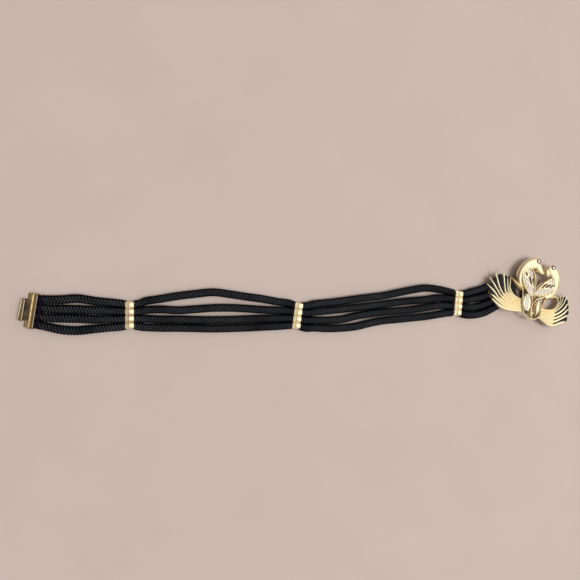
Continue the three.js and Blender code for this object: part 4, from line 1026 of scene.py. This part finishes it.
def casting():
    """Rims, plates, strips and the parts behind, which stand for the buckle's solid."""
    shape = Shape()
    for side in (-1, 1):
        wing_rim(shape, side)
        wing_floor(shape, side, 1, 0.2, BACK_Z, PLATE_Z, 0.0)
    for name, finish, steps in (("loop", 0, 150), ("stem", 0, 60), ("arc", 0, 90), ("brace", 1, 50),
                                ("tie", 1, 70)):
        shape.tube(strip_rings(named_strip(name), domed(12, 0.9), steps, round_ends=True), finish)
    for name in ("breast_left", "breast_right"):
        shape.tube(strip_rings(named_strip(name), domed(18, 0.95), 70, round_ends=True), 1)
    leaf = smooth(named_strip("leaf_smooth"), shares(48))
    leaf[:, 2] *= np.sin(math.pi * np.linspace(0.03, 0.99, 48)) ** 0.5
    leaf[:, 3] *= np.sin(math.pi * np.linspace(0.06, 0.98, 48)) ** 0.3
    shape.tube(strip_rings(leaf, domed(20, 1.0), 48), 0)
    shape.tube(ball_rings(*KNOB, KNOB_RADIUS, NECK_RISE * 0.85, 12, 20), 1)
    rows = [(r * SWAN_WIDE, u * SWAN_TALL, half * LEAF_HALF + 1.0, PLATE_Z - BACK_Z)
            for r, u, half in LEAF_ROWS]
    bevelled = np.array([(-1, 0), (-1, 0.85), (-0.93, 1), (0.93, 1), (1, 0.85), (1, 0)])
    shape.tube(strip_rings(rows, bevelled, 40), 0)
    ring = ellipse(14) * CATCH_RADIUS
    bar = np.column_stack([ring[:, 0], np.zeros(14), ring[:, 1]])
    x = CATCH_X + CENTRING[0]
    shape.tube([bar + (x, y, CATCH_RADIUS) for y in CATCH_ENDS], 0)
    for y in POST_PLACES:
        shape.tube([np.column_stack([ring + (x, y), np.full(14, z)]) for z in (CATCH_RADIUS, BACK_Z + 0.6)], 0)
    # the plates under the wings, the brace, the tie, the breasts and the knob take the amber painted shade
    shape.piece("swan_casting", [POLISHED_GOLD, AMBER_PAINTED_SHADE], "gold", ["swan_buckle"], crease=50)


def eyes():
    for side, name in ((-1, "left"), (1, "right")):
        shape = Shape()
        r, u = SWANS[side]["eye"]
        spot = on_buckle(r, u, BACK_Z + NECK_RISE - 0.15)
        ring = ellipse(28)
        shape.tube([spot + np.column_stack([ring * radius, np.full(28, z)]) for radius, z in EYE_RING], 1)
        stone(shape, spot, EYE_STONE, 0.7, 0, 0.2, 0.8, 10)
        shape.piece(f"eye_stone_{name}", [CRYSTAL, DARK_SETTING], "crystal", [f"eye_{name}"],
                    smooth_faces=False)


def buckle_cap():
    shape = Shape()
    shape.tube(cap_rings(BUCKLE_CAP, 1, BUCKLE_CAP.wide, BUCKLE_CAP.deep), 0)
    shape.piece("cord_cap", [BLACKENED_CAP], "gold", crease=35)


# The belt

for cord in range(len(CORD_NAMES)):
    braid_cord(cord)
cord_binding()
for name, place in SPACERS.items():
    spacer_bar(name, place)
clasp()
swan_body(-1, "left")
swan_body(1, "right")
casting()
paved_wing(-1, "paved_wing_left", "pave_wing_left")
paved_wing(1, "paved_wing_right", "pave_wing_right")
paved_leaf()
feather_fan(-1, "left")
feather_fan(1, "right")
eyes()
buckle_cap()


# Floor, light and camera

def stage_floor():
    mesh = bpy.data.meshes.new("floor")
    corners = [(x * FLOOR_REACH, y * FLOOR_REACH, 0) for x, y in ((-1, -1), (1, -1), (1, 1), (-1, 1))]
    mesh.from_pydata(corners, [], [(0, 1, 2, 3)])
    mesh.materials.append(floor_material())
    floor = bpy.data.objects.new("floor", mesh)
    floor.location.z = -FLOOR_SUNK
    bpy.context.scene.collection.objects.link(floor)


def key_light():
    """A soft window high up and far to the right, aimed at the belt's middle."""
    data = bpy.data.lights.new("key", "AREA")
    data.shape, data.size, data.energy, data.color = "SQUARE", KEY_SIZE, KEY_POWER, KEY_TONE
    lamp = bpy.data.objects.new("key", data)
    lamp.location = KEY_PLACE
    x, y, z = KEY_PLACE
    lamp.rotation_euler = (math.atan2(math.hypot(x, y), z), 0, math.atan2(-y, -x) - math.pi / 2)
    lamp.visible_glossy = False            # the metal mirrors the soft surround alone
    bpy.context.scene.collection.objects.link(lamp)


def surround():
    """A plain surround, bright above and to the right, which falls off to a dim one."""
    world = bpy.data.worlds.new("studio")
    world.use_nodes = True
    tree = world.node_tree
    where = node(tree, "TexCoord"), "Generated"
    facing = node(tree, "VectorMath", where, BRIGHT_SIDE, operation="DOT_PRODUCT"), "Value"
    span = node(tree, "MapRange", facing, From_Min=-0.4, From_Max=0.95), "Result"
    curve = node(tree, "Math", span, SKY_FALL, operation="POWER"), 0
    fill(tree, tree.nodes["Background"], {"Color": blend(tree, curve, DIM_SKY, BRIGHT_SKY)})
    bpy.context.scene.world = world


def camera():
    """A camera above the belt's left third, tilted towards the buckle, as the photograph was taken."""
    data = bpy.data.cameras.new("camera")
    data.sensor_width, data.lens = SENSOR, SENSOR * FOCAL_SHARE
    data.clip_start = 0.01
    made = bpy.data.objects.new("camera", data)
    made.location = CAMERA_PLACE
    made.rotation_euler = (0, CAMERA_TILT, 0)
    bpy.context.scene.collection.objects.link(made)
    bpy.context.scene.camera = made


stage_floor()
key_light()
surround()
camera()
bpy.context.scene.view_settings.view_transform = "Standard"
